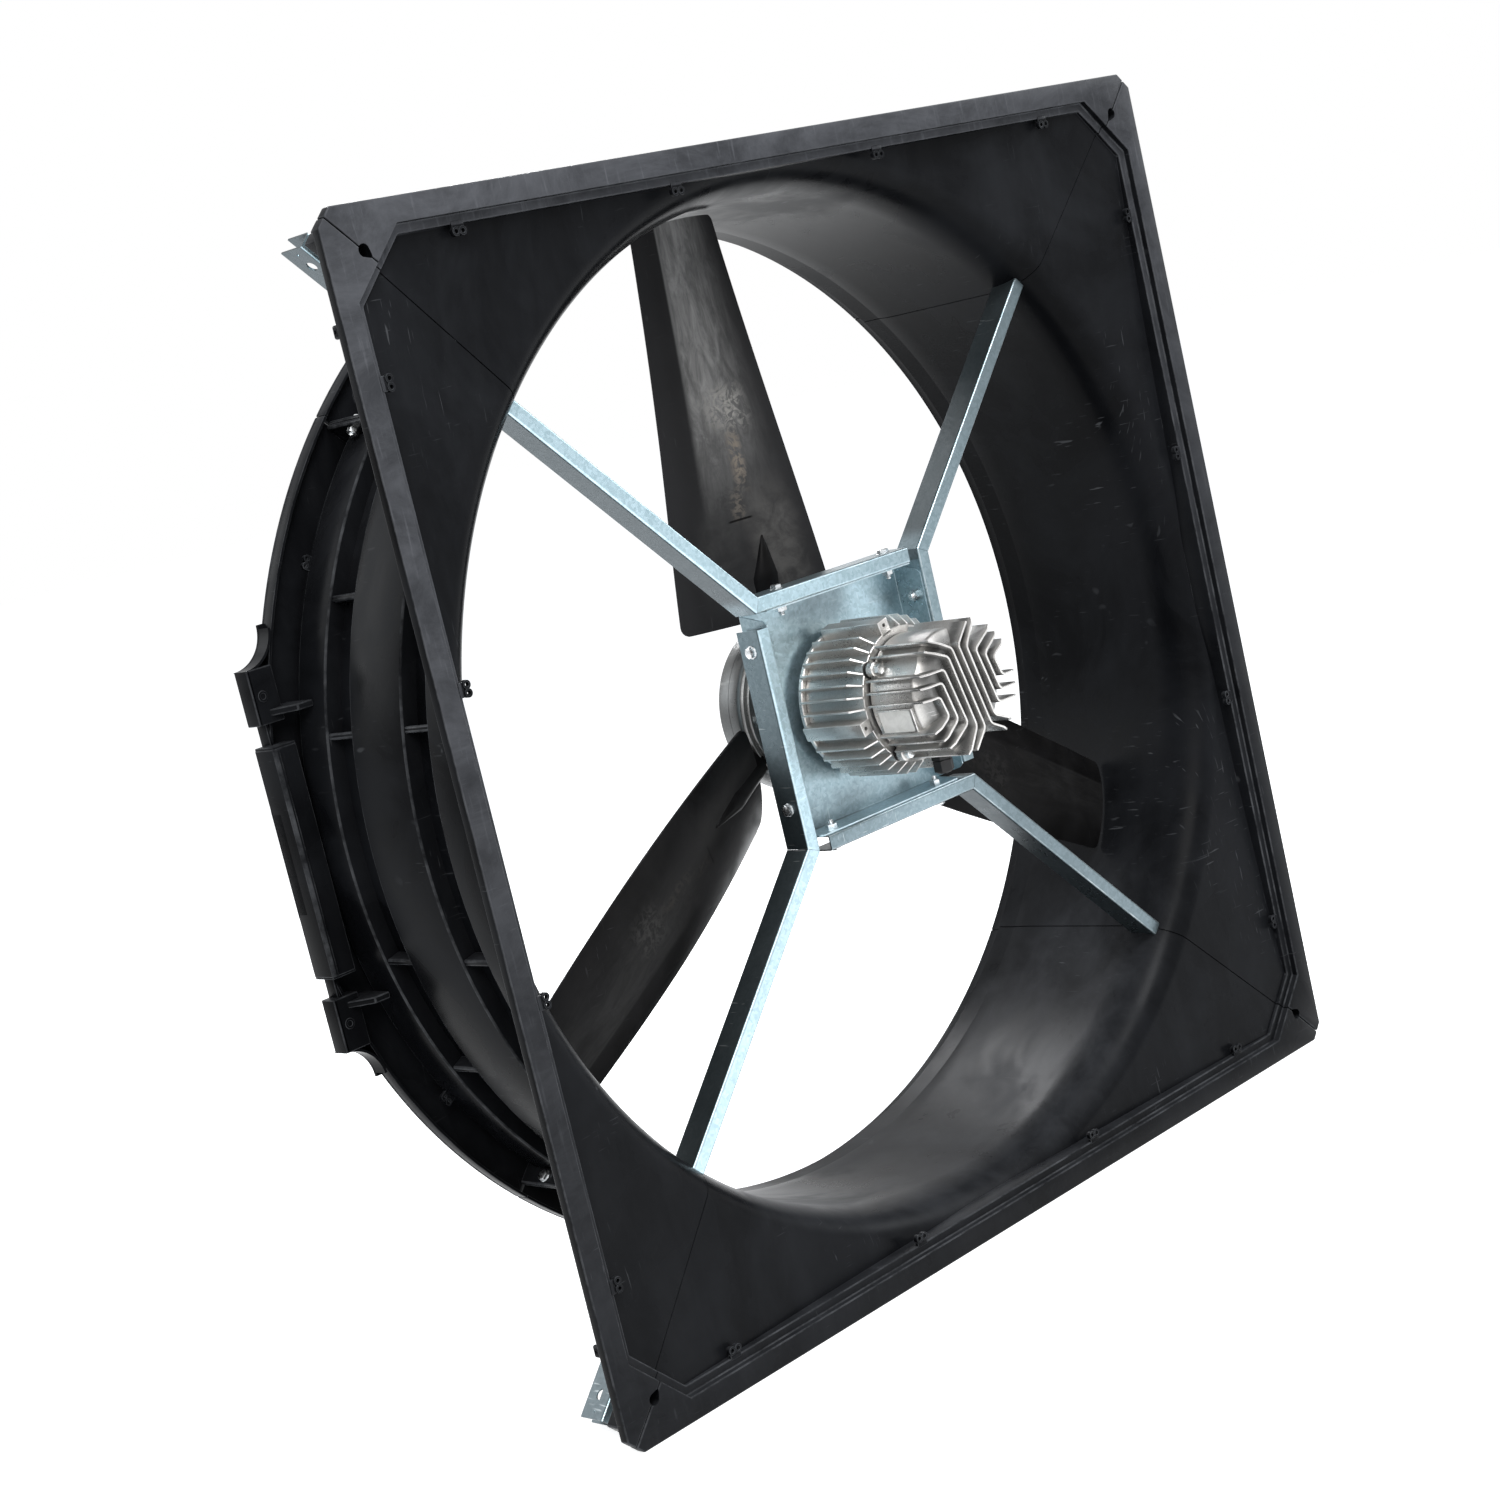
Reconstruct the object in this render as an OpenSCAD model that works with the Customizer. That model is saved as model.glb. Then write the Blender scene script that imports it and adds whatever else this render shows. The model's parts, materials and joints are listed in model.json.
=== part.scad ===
// Barn ventilation fan: square wall flange with a round duct in four moulded
// panels, a pressed cross of four channel struts, a plate-mounted finned motor
// with its electronics in the nose, and a three-blade impeller.
// X is to the right seen from the flange side, Z is up and +Y is the air's way.
// The flange's front face lies on Y = 0 and the shaft on the Y axis.

/* [Flange] */
// Side of the square wall flange
flange_side = 1400; // [1390:2:1420]
// Cut at each outer corner of the flange, along one side
flange_corner_cut = 20; // [10:1:24]
// Width of the flat outer rim
rim_width = 28.6; // [25:0.2:32]
// Depth of the rim's skirt
rim_depth = 18; // [15:1:24]
// Slanted inner corner of the rim, along one side
rim_corner = 74; // [66:1:80]
// Width of the ledge inside the rim
ledge_width = 11; // [8:0.5:13]
// How far the ledge lies behind the rim's face
ledge_drop = 10; // [8:0.5:12]
// Diameter of the wall bolt hole in each corner
corner_hole_d = 13; // [10.5:0.5:14]
// Distance of a corner hole from both sides of the flange
corner_hole_inset = 52; // [49:0.5:55]
// Distance from the middle of a side to the inner screw ear
ear_inner_x = 177; // [150:1:200]
// Distance from the middle of a side to the outer screw ear
ear_outer_x = 511; // [480:1:540]
// Width of a screw ear
ear_w = 18; // [15:0.5:22]
// How far a screw ear reaches in from the ledge
ear_reach = 13; // [11:0.5:16]
// Diameter of the two small holes in a screw ear
ear_hole_d = 5; // [3:0.5:6]

/* [Duct] */
// Distance from the duct's inner surface to the middle of the flange's side
duct_inset = 62; // [59:0.5:63.5]
// Wall thickness of the moulded panels
wall = 4; // [3:0.25:5]
// Depth of the whole housing
housing_depth = 372; // [366:1:390]
// Distance behind the face where the flared inlet meets the round duct
inlet_end_y = 105; // [100:1:110]
// How much wider the inlet's flare is than the duct
inlet_flare = 42; // [36:1:46]
// How far the corner surface lies behind the face at its outer end
corner_surface_y = 13.5; // [12.5:0.5:15]
// Length from the start of the outlet flare to the rear face
outlet_reach = 82; // [72:1:102]
// How much the outlet flares
outlet_flare = 12; // [6:1:16]
// Height of the raised bands over the duct's inner surface
band_over = 26; // [20:1:30]
// Front end of the front groove
front_groove_y = 102; // [100:1:108]
// Width of the front groove
front_groove_w = 45; // [38:1:50]
// Distance from the front end of the rear groove to the rear face
rear_groove_back = 126; // [122:1:142]
// Width of the rear groove
rear_groove_w = 48; // [40:1:52]
// Distance from the rear end of the rear raised band to the rear face
band_end_back = 23; // [20:1:28]
// Angles of the ribs across the grooves, from the middle of a panel
rib_angle_in = 12; // [9:0.5:16]
// Angle of the outer rib across a groove, from the middle of a panel
rib_angle_out = 26; // [22:0.5:30]
// Width of a rib across a groove
rib_w = 8; // [5:0.5:12]
// How far the round rear rim would reach past the flange's side
rear_rim_over = 3; // [2:0.5:5]
// Depth of the rear rim's outer lip
rear_lip = 20; // [14:1:24]
// Half width of the long foot at the rear rim
foot_half = 139; // [120:1:145]
// Depth of the long foot
foot_depth = 38; // [30:1:42]
// Distance from the middle of a side to the near side of a lug
lug_from = 167; // [160:1:175]
// Distance from the middle of a side to the far side of a lug
lug_to = 233; // [225:1:240]
// Depth of a lug
lug_depth = 26; // [20:1:32]
// Diameter of the hole in each lug
lug_hole_d = 6.5; // [4:0.5:8]
// Gap between two neighbouring panels
seam_gap = 0.8; // [0.5:0.1:1.2]
// Height of the flange along each seam over the duct wall
seam_flange_h = 46; // [40:1:52]
// Thickness of the flange along each seam
seam_flange_t = 6; // [5:0.5:8]
// Distance from the rear seam bolt to the rear face
seam_bolt_back = 47; // [42:1:54]
// Distance behind the face of the front seam bolt
seam_bolt_front_y = 44.5; // [44:0.5:46]
// Distance of the front seam bolt from the duct's inner surface
seam_bolt_out = 142; // [122:1:162]

/* [Struts] */
// Width of the channel strut
strut_w = 20; // [18:0.5:22]
// Depth of the channel strut
strut_d = 38; // [36:0.5:40]
// Distance of the strut's web behind the flange's face
strut_y = 60; // [59:0.5:61]
// Sheet thickness of the struts and of the motor plate
sheet_t = 2; // [1.5:0.25:2.5]
// How far a strut's outer end reaches past the corner hole
strut_end_over = 39.6; // [34:0.2:45]
// Distance of the hanging hole from a strut's outer end
hang_hole_in = 29; // [26:0.5:32]
// Diameter of the hanging hole
hang_hole_d = 13; // [10:0.5:14]
// Distance of the small end hole from a strut's outer end
end_hole_in = 9; // [8:0.5:12]
// Diameter of the small end hole
end_hole_d = 3; // [2:0.5:4]
// Length of each strut leg past the middle of the plate's side
leg_end = 126; // [118:1:130]
// Clearance round a strut where it passes the housing
strut_clear = 0.3; // [0.2:0.05:0.6]

/* [Motor plate] */
// Side of the square motor plate
plate_side = 290; // [286:1:294]
// Distance of the plate's front surface behind the flange's face
plate_y = 108; // [106:0.5:112]
// Distance of the plate's folded edge behind the flange's face
plate_edge_y = 64; // [63:0.5:68]
// Distance of each plate bolt from the middle of its side
plate_bolt_x = 100; // [90:1:105]
// Distance of the plate bolts behind the flange's face
plate_bolt_y = 79; // [77.5:0.5:80.5]
// Thread size of the plate and seam bolts
bolt_d = 8; // [7:0.5:8]
// Diametral clearance of a bolt in its hole
bolt_clear = 0.5; // [0.4:0.1:1]

/* [Motor] */
// Radius over the motor's cooling fins
fin_r = 100; // [97:0.5:104]
// Radius at the root of the cooling fins
fin_root_r = 85; // [83:0.5:88]
// Thickness of a cooling fin
fin_t = 3; // [2:0.25:4]
// Front end of the motor body
body_front_y = -10; // [-12:0.5:-9]
// Rear end of the motor body's fins
body_rear_y = 90; // [86:0.5:92]
// Inner radius of the motor body
body_bore_r = 76; // [74:0.5:78]
// Depth of the collar behind the fins
collar_d = 7; // [5:0.5:8]
// Radius of the spigot that meets the plate
spigot_r = 66; // [60:0.5:70]
// Turn of the four screw columns from the horizontal
column_turn = 13; // [10:0.5:16]
// Width of a screw column
column_w = 18; // [15:0.5:22]
// Radius of the circle of screws that hold the motor to the plate
motor_bolt_r = 54; // [50:0.5:56]
// Radius of the motor shaft
shaft_r = 14; // [13:0.5:15]
// Radial gap between the rotor and the stator
air_gap = 0.8; // [0.5:0.1:1.2]
// Inner radius of the stator core
stator_in_r = 50; // [47:0.5:52]
// Length of the stator core
stator_len = 52; // [46:1:54]

/* [Electronics cap] */
// Distance of the cap's rib tips ahead of the flange's face
cap_tip = 112; // [108:0.5:118]
// Height of the cap's ribs above its front
rib_h = 14; // [10:0.5:16]
// Thickness of the cap's ribs
cap_rib_t = 2.6; // [2:0.1:3.4]
// Radius of the cap's side wall
cap_r = 76; // [74:0.5:78]
// Wall thickness of the cap
cap_wall = 4; // [3:0.25:5]
// Thickness of the gasket between cap and body
gasket_t = 3; // [2:0.25:4]
// Angle of the cap's bolts from the vertical
cap_bolt_turn = 55; // [50:1:60]
// Radius of the circle of the cap's bolts
cap_bolt_r = 80; // [78:0.5:82]
// Diameter of the cap's bolt bosses
cap_boss_d = 20; // [16:0.5:22]
// Clear radius for the spanner in front of each cap bolt
bolt_access_r = 6.5; // [6:0.1:6.8]
// Height of the blank rating plate
label_h = 28.5; // [22:0.5:29]
// Length of the blank rating plate
label_w = 52; // [40:0.5:53]
// Angle of the rating plate below the cap's left side
label_turn = 9; // [8:0.5:10]
// Height of the rating plate's middle on its turned side
label_mid = -7; // [-7.5:0.1:-6.9]
// Radius of the hole through the cable gland
gland_bore_r = 5; // [4:0.25:6]

/* [Impeller] */
// Gap between a blade's tip and the duct
tip_gap = 5; // [4.5:0.5:12]
// Radius where the blade's root edge lies
blade_root_r = 155; // [150:1:165]
// Width of a blade at its root
root_chord = 208; // [190:1:216]
// Width of a blade at its tip
tip_chord = 130; // [110:1:140]
// Angle of a blade to the plane of rotation at its root
root_pitch = 31.6; // [26:0.2:33]
// Angle of a blade to the plane of rotation at its tip
tip_pitch = 6.6; // [4:0.2:10]
// Sideways shift of the blade's middle line
blade_shift = -16.5; // [-20:0.5:-10]
// Distance of the impeller's middle plane behind the flange's face
impeller_y = 205; // [203:0.5:208]
// Rearward shift of the blade root's middle line
root_back = 7; // [4:0.5:10]
// Thickness of a blade at its root
root_t = 9; // [7:0.5:11]
// Thickness of a blade at its tip
tip_t = 5; // [4:0.5:7]
// Bow of a blade's section, as a share of its width
camber = 0.045; // [0.03:0.005:0.06]
// Radius of a blade's round shank
shank_r = 24; // [22:0.5:25]
// Outer radius of the hub
hub_r = 110; // [106:0.5:114]
// Thickness of one hub half
hub_half_t = 29; // [28:0.5:32]
// Gap between the two hub halves
hub_gap = 0.6; // [0.4:0.1:1]
// Radius of the circle of hub clamp bolts
hub_bolt_r = 88; // [86:0.5:90]
// Angle of a hub clamp bolt from its blade
hub_bolt_turn = 29; // [27.5:0.5:32]
// Radial clearance between parts that are clamped together
seat_clear = 0.1; // [0.05:0.05:0.2]

/* [Hidden] */
$fn = 96;
eps = 0.01;
half = flange_side / 2;
rim_in = half - rim_width;
ledge_in = rim_in - ledge_width;
ledge_corner = rim_corner - ledge_width * 0.586;
surface_s = sqrt(2) * ledge_in - ledge_corner / sqrt(2) + 8;
skin_y = corner_surface_y;
plate_half = plate_side / 2;
leg_out = plate_half + strut_w;
hole_s = sqrt(2) * (half - corner_hole_inset);
duct_r = half - duct_inset;
band_r = duct_r + band_over;
outlet_start_y = housing_depth - outlet_reach;
rear_groove_y = housing_depth - rear_groove_back;
band_end_y = housing_depth - band_end_back;
seam_bolt_y = housing_depth - seam_bolt_back;
seam_bolt_front_s = duct_r + seam_bolt_out;
strut_end_s = hole_s + strut_end_over;
hang_hole_s = strut_end_s - hang_hole_in;
end_hole_s = strut_end_s - end_hole_in;
blade_tip_r = duct_r - tip_gap;
slot_front = strut_y - strut_clear;
slot_back = strut_y + strut_d + strut_clear;
bolt_af = 13;
bolt_head = 5.3;
nut_h = 6.5;
bolt_hole_r = (bolt_d + bolt_clear) / 2;
bearing_r = 31;
bearing_bore_r = shaft_r;
bearing_w = 14;
body_len = body_rear_y - body_front_y;
stator_mid = (body_front_y + body_rear_y) / 2;
stator_out_r = body_bore_r - 0.05;
cap_base_y = -cap_tip + rib_h;
cap_back_y = body_front_y - gasket_t;
hub_front_y = impeller_y - hub_gap / 2 - hub_half_t;
hub_rear_y = impeller_y + hub_gap / 2 + hub_half_t;
plate_back_y = plate_y + sheet_t;
plastic = [0.12, 0.125, 0.135];
zinc = [0.66, 0.74, 0.77];
casting = [0.64, 0.63, 0.61];

function unit(v) = v / norm(v);
function seg(p, i) = unit(p[i + 1] - p[i]);
function left(v) = [-v[1], v[0]];
function miter(p, i) =
  let (
    last = len(p) - 1,
    a = left(seg(p, max(i - 1, 0))),
    b = left(seg(p, min(i, last - 1))),
    m = unit(a + b)
  )
  m / (m * a);
function side(p, d) = [for (i = [0:len(p) - 1]) p[i] + d * miter(p, i)];
function flip(p) = [for (i = [len(p) - 1:-1:0]) p[i]];
// Outline of a strip along a line of points, between two distances from it
function strip(p, d1, d2) = concat(side(p, d1), flip(side(p, d2)));
function octagon(h, c) = [
  [h - c, h], [c - h, h], [-h, h - c], [-h, c - h],
  [c - h, -h], [h - c, -h], [h, c - h], [h, h - c]
];

// A flat shape in X and Z, thickened from y0 to y1
module layer(y0, y1) {
  translate([0, y1, 0])
    rotate([90, 0, 0])
      linear_extrude(height = y1 - y0)
        children();
}
// A profile of radius and Y, turned round the shaft
module turned() {
  rotate([-90, 0, 0])
    rotate_extrude()
      children();
}
module tube_y(r_out, r_in, y0, y1) {
  turned()
    polygon([[r_in, y0], [r_out, y0], [r_out, y1], [r_in, y1]]);
}
module rod_y(r, y0, y1) {
  translate([0, y1, 0])
    rotate([90, 0, 0])
      cylinder(r = r, h = y1 - y0);
}
// A place at distance s on the diagonal to the upper left
module on_diagonal(s) {
  rotate([0, -45, 0])
    translate([0, 0, s])
      children();
}
module hex_rod(af, h) {
  cylinder(r = af / sqrt(3), h = h, $fn = 6);
}
// A hexagon bolt whose head sits on z = 0 and whose shank points down
module hex_bolt(d, af, head_h, len_under) {
  hex_rod(af, head_h);
  translate([0, 0, -len_under])
    cylinder(r = d / 2, h = len_under + eps);
}
module hex_nut(d, af, h) {
  difference() {
    hex_rod(af, h);
    translate([0, 0, -1])
      cylinder(r = d / 2 + seat_clear, h = h + 2);
  }
}

// Line of the air's surface from a corner of the flange into the duct
inlet_a = [for (t = [90:-10:0])
  [
    duct_r + inlet_flare * (1 - cos(t)),
    inlet_end_y - (inlet_end_y - corner_surface_y - 17.5) * sin(t)
  ]
];
outlet_end_y = housing_depth - 9;
outlet_len = outlet_end_y - outlet_start_y;
outlet_a = [for (t = [0:0.2:1])
  [duct_r + outlet_flare * t * t, outlet_start_y + outlet_len * t]
];
air_line = concat([[surface_s, skin_y]], inlet_a, outlet_a);

// Section of the round duct with its three hollow raised bands
module duct_section() {
  polygon(strip(air_line, 0, -wall));
  band_section(corner_surface_y + 28, front_groove_y, false);
  band_section(front_groove_y + front_groove_w, rear_groove_y, true);
  band_section(rear_groove_y + rear_groove_w, band_end_y, true);
  translate([duct_r + outlet_flare - 2, outlet_end_y - 3])
    square([wall + 6, housing_depth - outlet_end_y + 2]);
}
module band_section(y0, y1, front_wall) {
  translate([band_r - wall, y0])
    square([wall, y1 - y0]);
  translate([duct_r + wall / 2, y1 - wall])
    square([band_r - duct_r - wall, wall]);
  if (front_wall)
    translate([duct_r + wall / 2, y0])
      square([band_r - duct_r - wall, wall]);
}
// The quarter of the face that one panel covers, less half the seam gap
module quarter() {
  polygon([
    [0, seam_gap / sqrt(2)],
    [2 * half, 2 * half + seam_gap / sqrt(2)],
    [-2 * half, 2 * half + seam_gap / sqrt(2)]
  ]);
}
module quarter_layer(y0, y1) {
  layer(y0, y1)
    intersection() {
      quarter();
      children();
    }
}
module octagon_frame(h_out, c_out, h_in, c_in) {
  difference() {
    polygon(octagon(h_out, c_out));
    polygon(octagon(h_in, c_in));
  }
}
module groove_rib(a, y0, y1) {
  rotate([0, a, 0])
    translate([-rib_w / 2, y0 - 1, duct_r + wall / 2])
      cube([rib_w, y1 - y0 + 2, band_r - duct_r - wall / 2 - 3]);
}
module rim() {
  quarter_layer(0, wall)
    octagon_frame(half, flange_corner_cut, rim_in, rim_corner);
  quarter_layer(0, rim_depth)
    octagon_frame(half, flange_corner_cut, half - wall, flange_corner_cut);
  quarter_layer(0, ledge_drop + wall)
    octagon_frame(rim_in + wall, rim_corner, rim_in, rim_corner);
  quarter_layer(ledge_drop, ledge_drop + wall)
    octagon_frame(rim_in + wall / 2, rim_corner, ledge_in, ledge_corner);
  // wall from the ledge down to the air's surface
  quarter_layer(ledge_drop, corner_surface_y + 26)
    octagon_frame(ledge_in + wall, ledge_corner, ledge_in, ledge_corner);
}
module ear() {
  layer(ledge_drop, ledge_drop + wall)
    difference() {
      union() {
        translate([-ear_w / 2, -ear_reach + ear_w / 4])
          square([ear_w, ear_reach]);
        for (x = [-1, 1])
          translate([x * ear_w / 4, -ear_reach + ear_w / 4])
            circle(r = ear_w / 4, $fn = 32);
      }
      for (x = [-1, 1])
        translate([x * ear_w / 4, -ear_reach + ear_w / 4])
          circle(d = ear_hole_d, $fn = 32);
    }
}
module rear_outline() {
  circle(r = half + rear_rim_over, $fn = 180);
  translate([-foot_half, 0])
    square([2 * foot_half, half]);
  for (s = [-1, 1])
    translate([s * (lug_from + lug_to) / 2 - (lug_to - lug_from) / 2, 0])
      square([lug_to - lug_from, half]);
}
// Hollow concave run from a lug down to the round rim
module lug_blend() {
  blend_r = 46;
  difference() {
    translate([lug_to - 1, half - blend_r - 12])
      square([blend_r, blend_r + 12]);
    translate([lug_to + blend_r, half])
      circle(r = blend_r);
  }
}
module rear_rim() {
  rim_y = housing_depth - 5;
  // the rear face
  quarter_layer(rim_y, housing_depth)
    difference() {
      intersection() {
        union() {
          rear_outline();
          lug_blend();
          mirror([1, 0])
            lug_blend();
        }
        square(2 * half, center = true);
      }
      circle(r = duct_r + outlet_flare - 2, $fn = 180);
      for (s = [-1, 1])
        translate([s * (lug_from + lug_to) / 2, half - 14])
          circle(d = lug_hole_d);
      // windows that open the hollow feet to the rear
      translate([-foot_half + 12, half - 26])
        square([2 * foot_half - 24, 14]);
      // gaps between the long foot and the lugs
      for (s = [-1, 1])
        translate([s * (foot_half + lug_from) / 2 - (lug_from - foot_half) / 2, half - 11])
          square([lug_from - foot_half, 40]);
    }
  // round lip
  quarter_layer(housing_depth - rear_lip, housing_depth - 2)
    difference() {
      circle(r = half + rear_rim_over, $fn = 180);
      circle(r = half + rear_rim_over - wall, $fn = 180);
      translate([-lug_to, half - 60])
        square([2 * lug_to, 100]);
    }
  // long foot, a box that is open towards the duct
  foot_box(-foot_half, foot_half, foot_depth);
  for (s = [-1, 1])
    mirror([s < 0 ? 1 : 0, 0, 0]) {
      foot_box(lug_from, lug_to, lug_depth);
      // floor of the gap between the foot and the lug
      translate([foot_half - 1, housing_depth - rear_lip, half - 11 - wall])
        cube([lug_from - foot_half + 2, rear_lip - 1, wall]);
    }
}
module foot_box(x0, x1, d) {
  low = 34;
  difference() {
    translate([x0, housing_depth - d, half - low])
      cube([x1 - x0, d - 2, low]);
    translate([x0 + wall, housing_depth - d + wall, half - low - 1])
      cube([x1 - x0 - 2 * wall, d, low - wall + 1]);
  }
}
// Flat gusset from the rear rim over the rear band
module gusset(x) {
  translate([x, 0, 0])
    translate([0, 0, duct_r + wall / 2])
      rotate([90, 0, 90])
        linear_extrude(height = rib_w, center = true)
          polygon([
            [band_end_y - 32, 0], [band_end_y - 32, band_r - duct_r - 4],
            [housing_depth - rear_lip, 46], [housing_depth - 3, 46], [housing_depth - 3, 0]
          ]);
}
module rear_ear() {
  translate([0, band_end_y - wall, band_r - 6])
    difference() {
      translate([-ear_w / 2, 0, 0])
        cube([ear_w, wall, ear_reach]);
      for (x = [-1, 1])
        translate([x * ear_w / 4, -1, ear_reach - 4.5])
          rotate([-90, 0, 0])
            cylinder(d = ear_hole_d, h = wall + 2, $fn = 32);
    }
}
// Flange along one seam of a panel, drawn at the upper left seam
module seam_flange() {
  rotate([0, -45, 0]) {
    translate([seam_gap / 2, inlet_end_y, duct_r + wall / 2])
      cube([seam_flange_t, housing_depth - inlet_end_y - 3, seam_flange_h]);
    translate([seam_gap / 2, corner_surface_y + 11.2, seam_bolt_front_s - 20])
      cube([seam_flange_t, slot_front - corner_surface_y - 12.2, 40]);
  }
}
module corner_boss() {
  on_diagonal(hole_s)
    translate([seam_gap / 2, wall / 2, -18])
      cube([22, slot_front - wall / 2, 50]);
}
module seam_bolt_places() {
  on_diagonal(duct_r + wall / 2 + seam_flange_h - 12)
    translate([0, seam_bolt_y, 0])
      rotate([0, 90, 0])
        children();
  on_diagonal(seam_bolt_front_s)
    translate([0, seam_bolt_front_y, 0])
      rotate([0, 90, 0])
        children();
}
module seam_cuts() {
  seam_bolt_places()
    cylinder(r = bolt_hole_r, h = 60, center = true);
  rotate([0, -45, 0])
    translate([-strut_w / 2 - strut_clear, slot_front, duct_r - 60])
      cube([strut_w + 2 * strut_clear, slot_back - slot_front, flange_side - duct_r]);
  on_diagonal(hole_s)
    rod_y(corner_hole_d / 2, -1, slot_front + 1);
}
// The upper one of the four panels; the others are the same, turned
module panel() {
  color(plastic)
    difference() {
      union() {
        intersection() {
          turned()
            duct_section();
          quarter_layer(0, housing_depth)
            polygon(octagon(ledge_in + wall / 2, ledge_corner));
        }
        rim();
        rear_rim();
        for (s = [-1, 1]) {
          for (a = [rib_angle_in, rib_angle_out]) {
            groove_rib(s * a, front_groove_y, front_groove_y + front_groove_w);
            groove_rib(s * a, rear_groove_y, rear_groove_y + rear_groove_w);
          }
          for (x = [ear_inner_x, ear_outer_x])
            translate([s * x, 0, ledge_in])
              ear();
          gusset(s * (lug_from + 12));
          rotate([0, s * 30, 0])
            rear_ear();
        }
        rear_ear();
        for (m = [0, 1])
          mirror([m, 0, 0]) {
            seam_flange();
            corner_boss();
          }
      }
      for (m = [0, 1])
        mirror([m, 0, 0])
          seam_cuts();
    }
}
module four_seams() {
  for (a = [0:90:270])
    rotate([0, a, 0])
      seam_bolt_places()
        children();
}
seam_stack = seam_flange_t + seam_gap / 2;
module seam_bolts() {
  color(zinc)
    four_seams()
      translate([0, 0, seam_stack])
        hex_bolt(bolt_d, bolt_af, bolt_head, 2 * seam_stack + nut_h + 3);
}
module seam_nuts() {
  color(zinc)
    four_seams()
      translate([0, 0, -seam_stack - nut_h])
        hex_nut(bolt_d, bolt_af, nut_h);
}

// The upper left strut; the others are the same, turned
leg_mid = plate_half + strut_w / 2;
strut_line = [
  [-strut_end_s / sqrt(2), strut_end_s / sqrt(2)],
  [-leg_mid, leg_mid],
  [leg_end, leg_mid]
];
strut_inner = [
  [-(strut_end_s + 5) / sqrt(2), (strut_end_s + 5) / sqrt(2)],
  [-leg_mid, leg_mid],
  [leg_end + 5, leg_mid]
];
module strut() {
  color(zinc)
    difference() {
      layer(strut_y, strut_y + strut_d)
        polygon(strip(strut_line, strut_w / 2, -strut_w / 2));
      layer(strut_y + sheet_t, strut_y + strut_d + 1)
        polygon(strip(strut_inner, strut_w / 2 - sheet_t, -strut_w / 2 + sheet_t));
      // relief for the wall bolt in the front web
      on_diagonal(0)
        translate([-corner_hole_d / 2 - 1, strut_y - 1, hole_s - corner_hole_d / 2 - 2])
          cube([corner_hole_d + 2, sheet_t + 2, corner_hole_d + 16]);
      on_diagonal(hang_hole_s)
        translate([0, strut_y + strut_d / 2 - 1, 0])
          rotate([0, 90, 0])
            cylinder(d = hang_hole_d, h = strut_w + 10, center = true);
      on_diagonal(end_hole_s)
        translate([0, strut_y + strut_d / 2 - 1, 0])
          rotate([0, 90, 0])
            cylinder(d = end_hole_d, h = strut_w + 10, center = true, $fn = 32);
      for (s = [-1, 1])
        translate([s * plate_bolt_x, plate_bolt_y, leg_mid])
          cylinder(r = bolt_hole_r, h = strut_w + 10, center = true);
    }
}
module plate_sides() {
  for (a = [0:90:270])
    rotate([0, a, 0])
      children();
}
module motor_plate() {
  edge = plate_half - 3;
  slant = 14;
  color(zinc)
    difference() {
      union() {
        translate([-plate_half, plate_y, -plate_half])
          cube([plate_side, sheet_t, plate_side]);
        plate_sides()
          translate([0, 0, plate_half - sheet_t])
            linear_extrude(height = sheet_t)
              polygon([
                [-edge, plate_back_y], [edge, plate_back_y],
                [edge - slant + 5, plate_edge_y + 6], [edge - slant, plate_edge_y],
                [slant - edge, plate_edge_y], [slant - edge - 5, plate_edge_y + 6]
              ]);
      }
      rod_y(spigot_r - 24, plate_y - 1, plate_back_y + 1);
      for (a = [45:90:315])
        rotate([0, a, 0])
          translate([0, 0, motor_bolt_r])
            rod_y(bolt_hole_r, plate_y - 1, plate_back_y + 1);
      plate_sides()
        for (s = [-1, 1])
          translate([s * plate_bolt_x, plate_bolt_y, plate_half - sheet_t / 2])
            cylinder(r = bolt_hole_r, h = sheet_t + 2, center = true);
    }
}
module plate_bolts() {
  color(zinc)
    plate_sides()
      for (s = [-1, 1])
        translate([s * plate_bolt_x, plate_bolt_y, leg_out])
          hex_bolt(bolt_d, bolt_af, bolt_head, strut_w + sheet_t + nut_h + 5);
}
module plate_nuts() {
  color(zinc)
    plate_sides()
      for (s = [-1, 1])
        translate([s * plate_bolt_x, plate_bolt_y, plate_half - sheet_t - nut_h])
          hex_nut(bolt_d, bolt_af, nut_h);
}
module motor_screws() {
  color(zinc)
    for (a = [45:90:315])
      rotate([0, a, 0])
        translate([0, plate_back_y, motor_bolt_r])
          rotate([-90, 0, 0])
            hex_bolt(bolt_d, bolt_af, bolt_head, sheet_t + 15);
}

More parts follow.
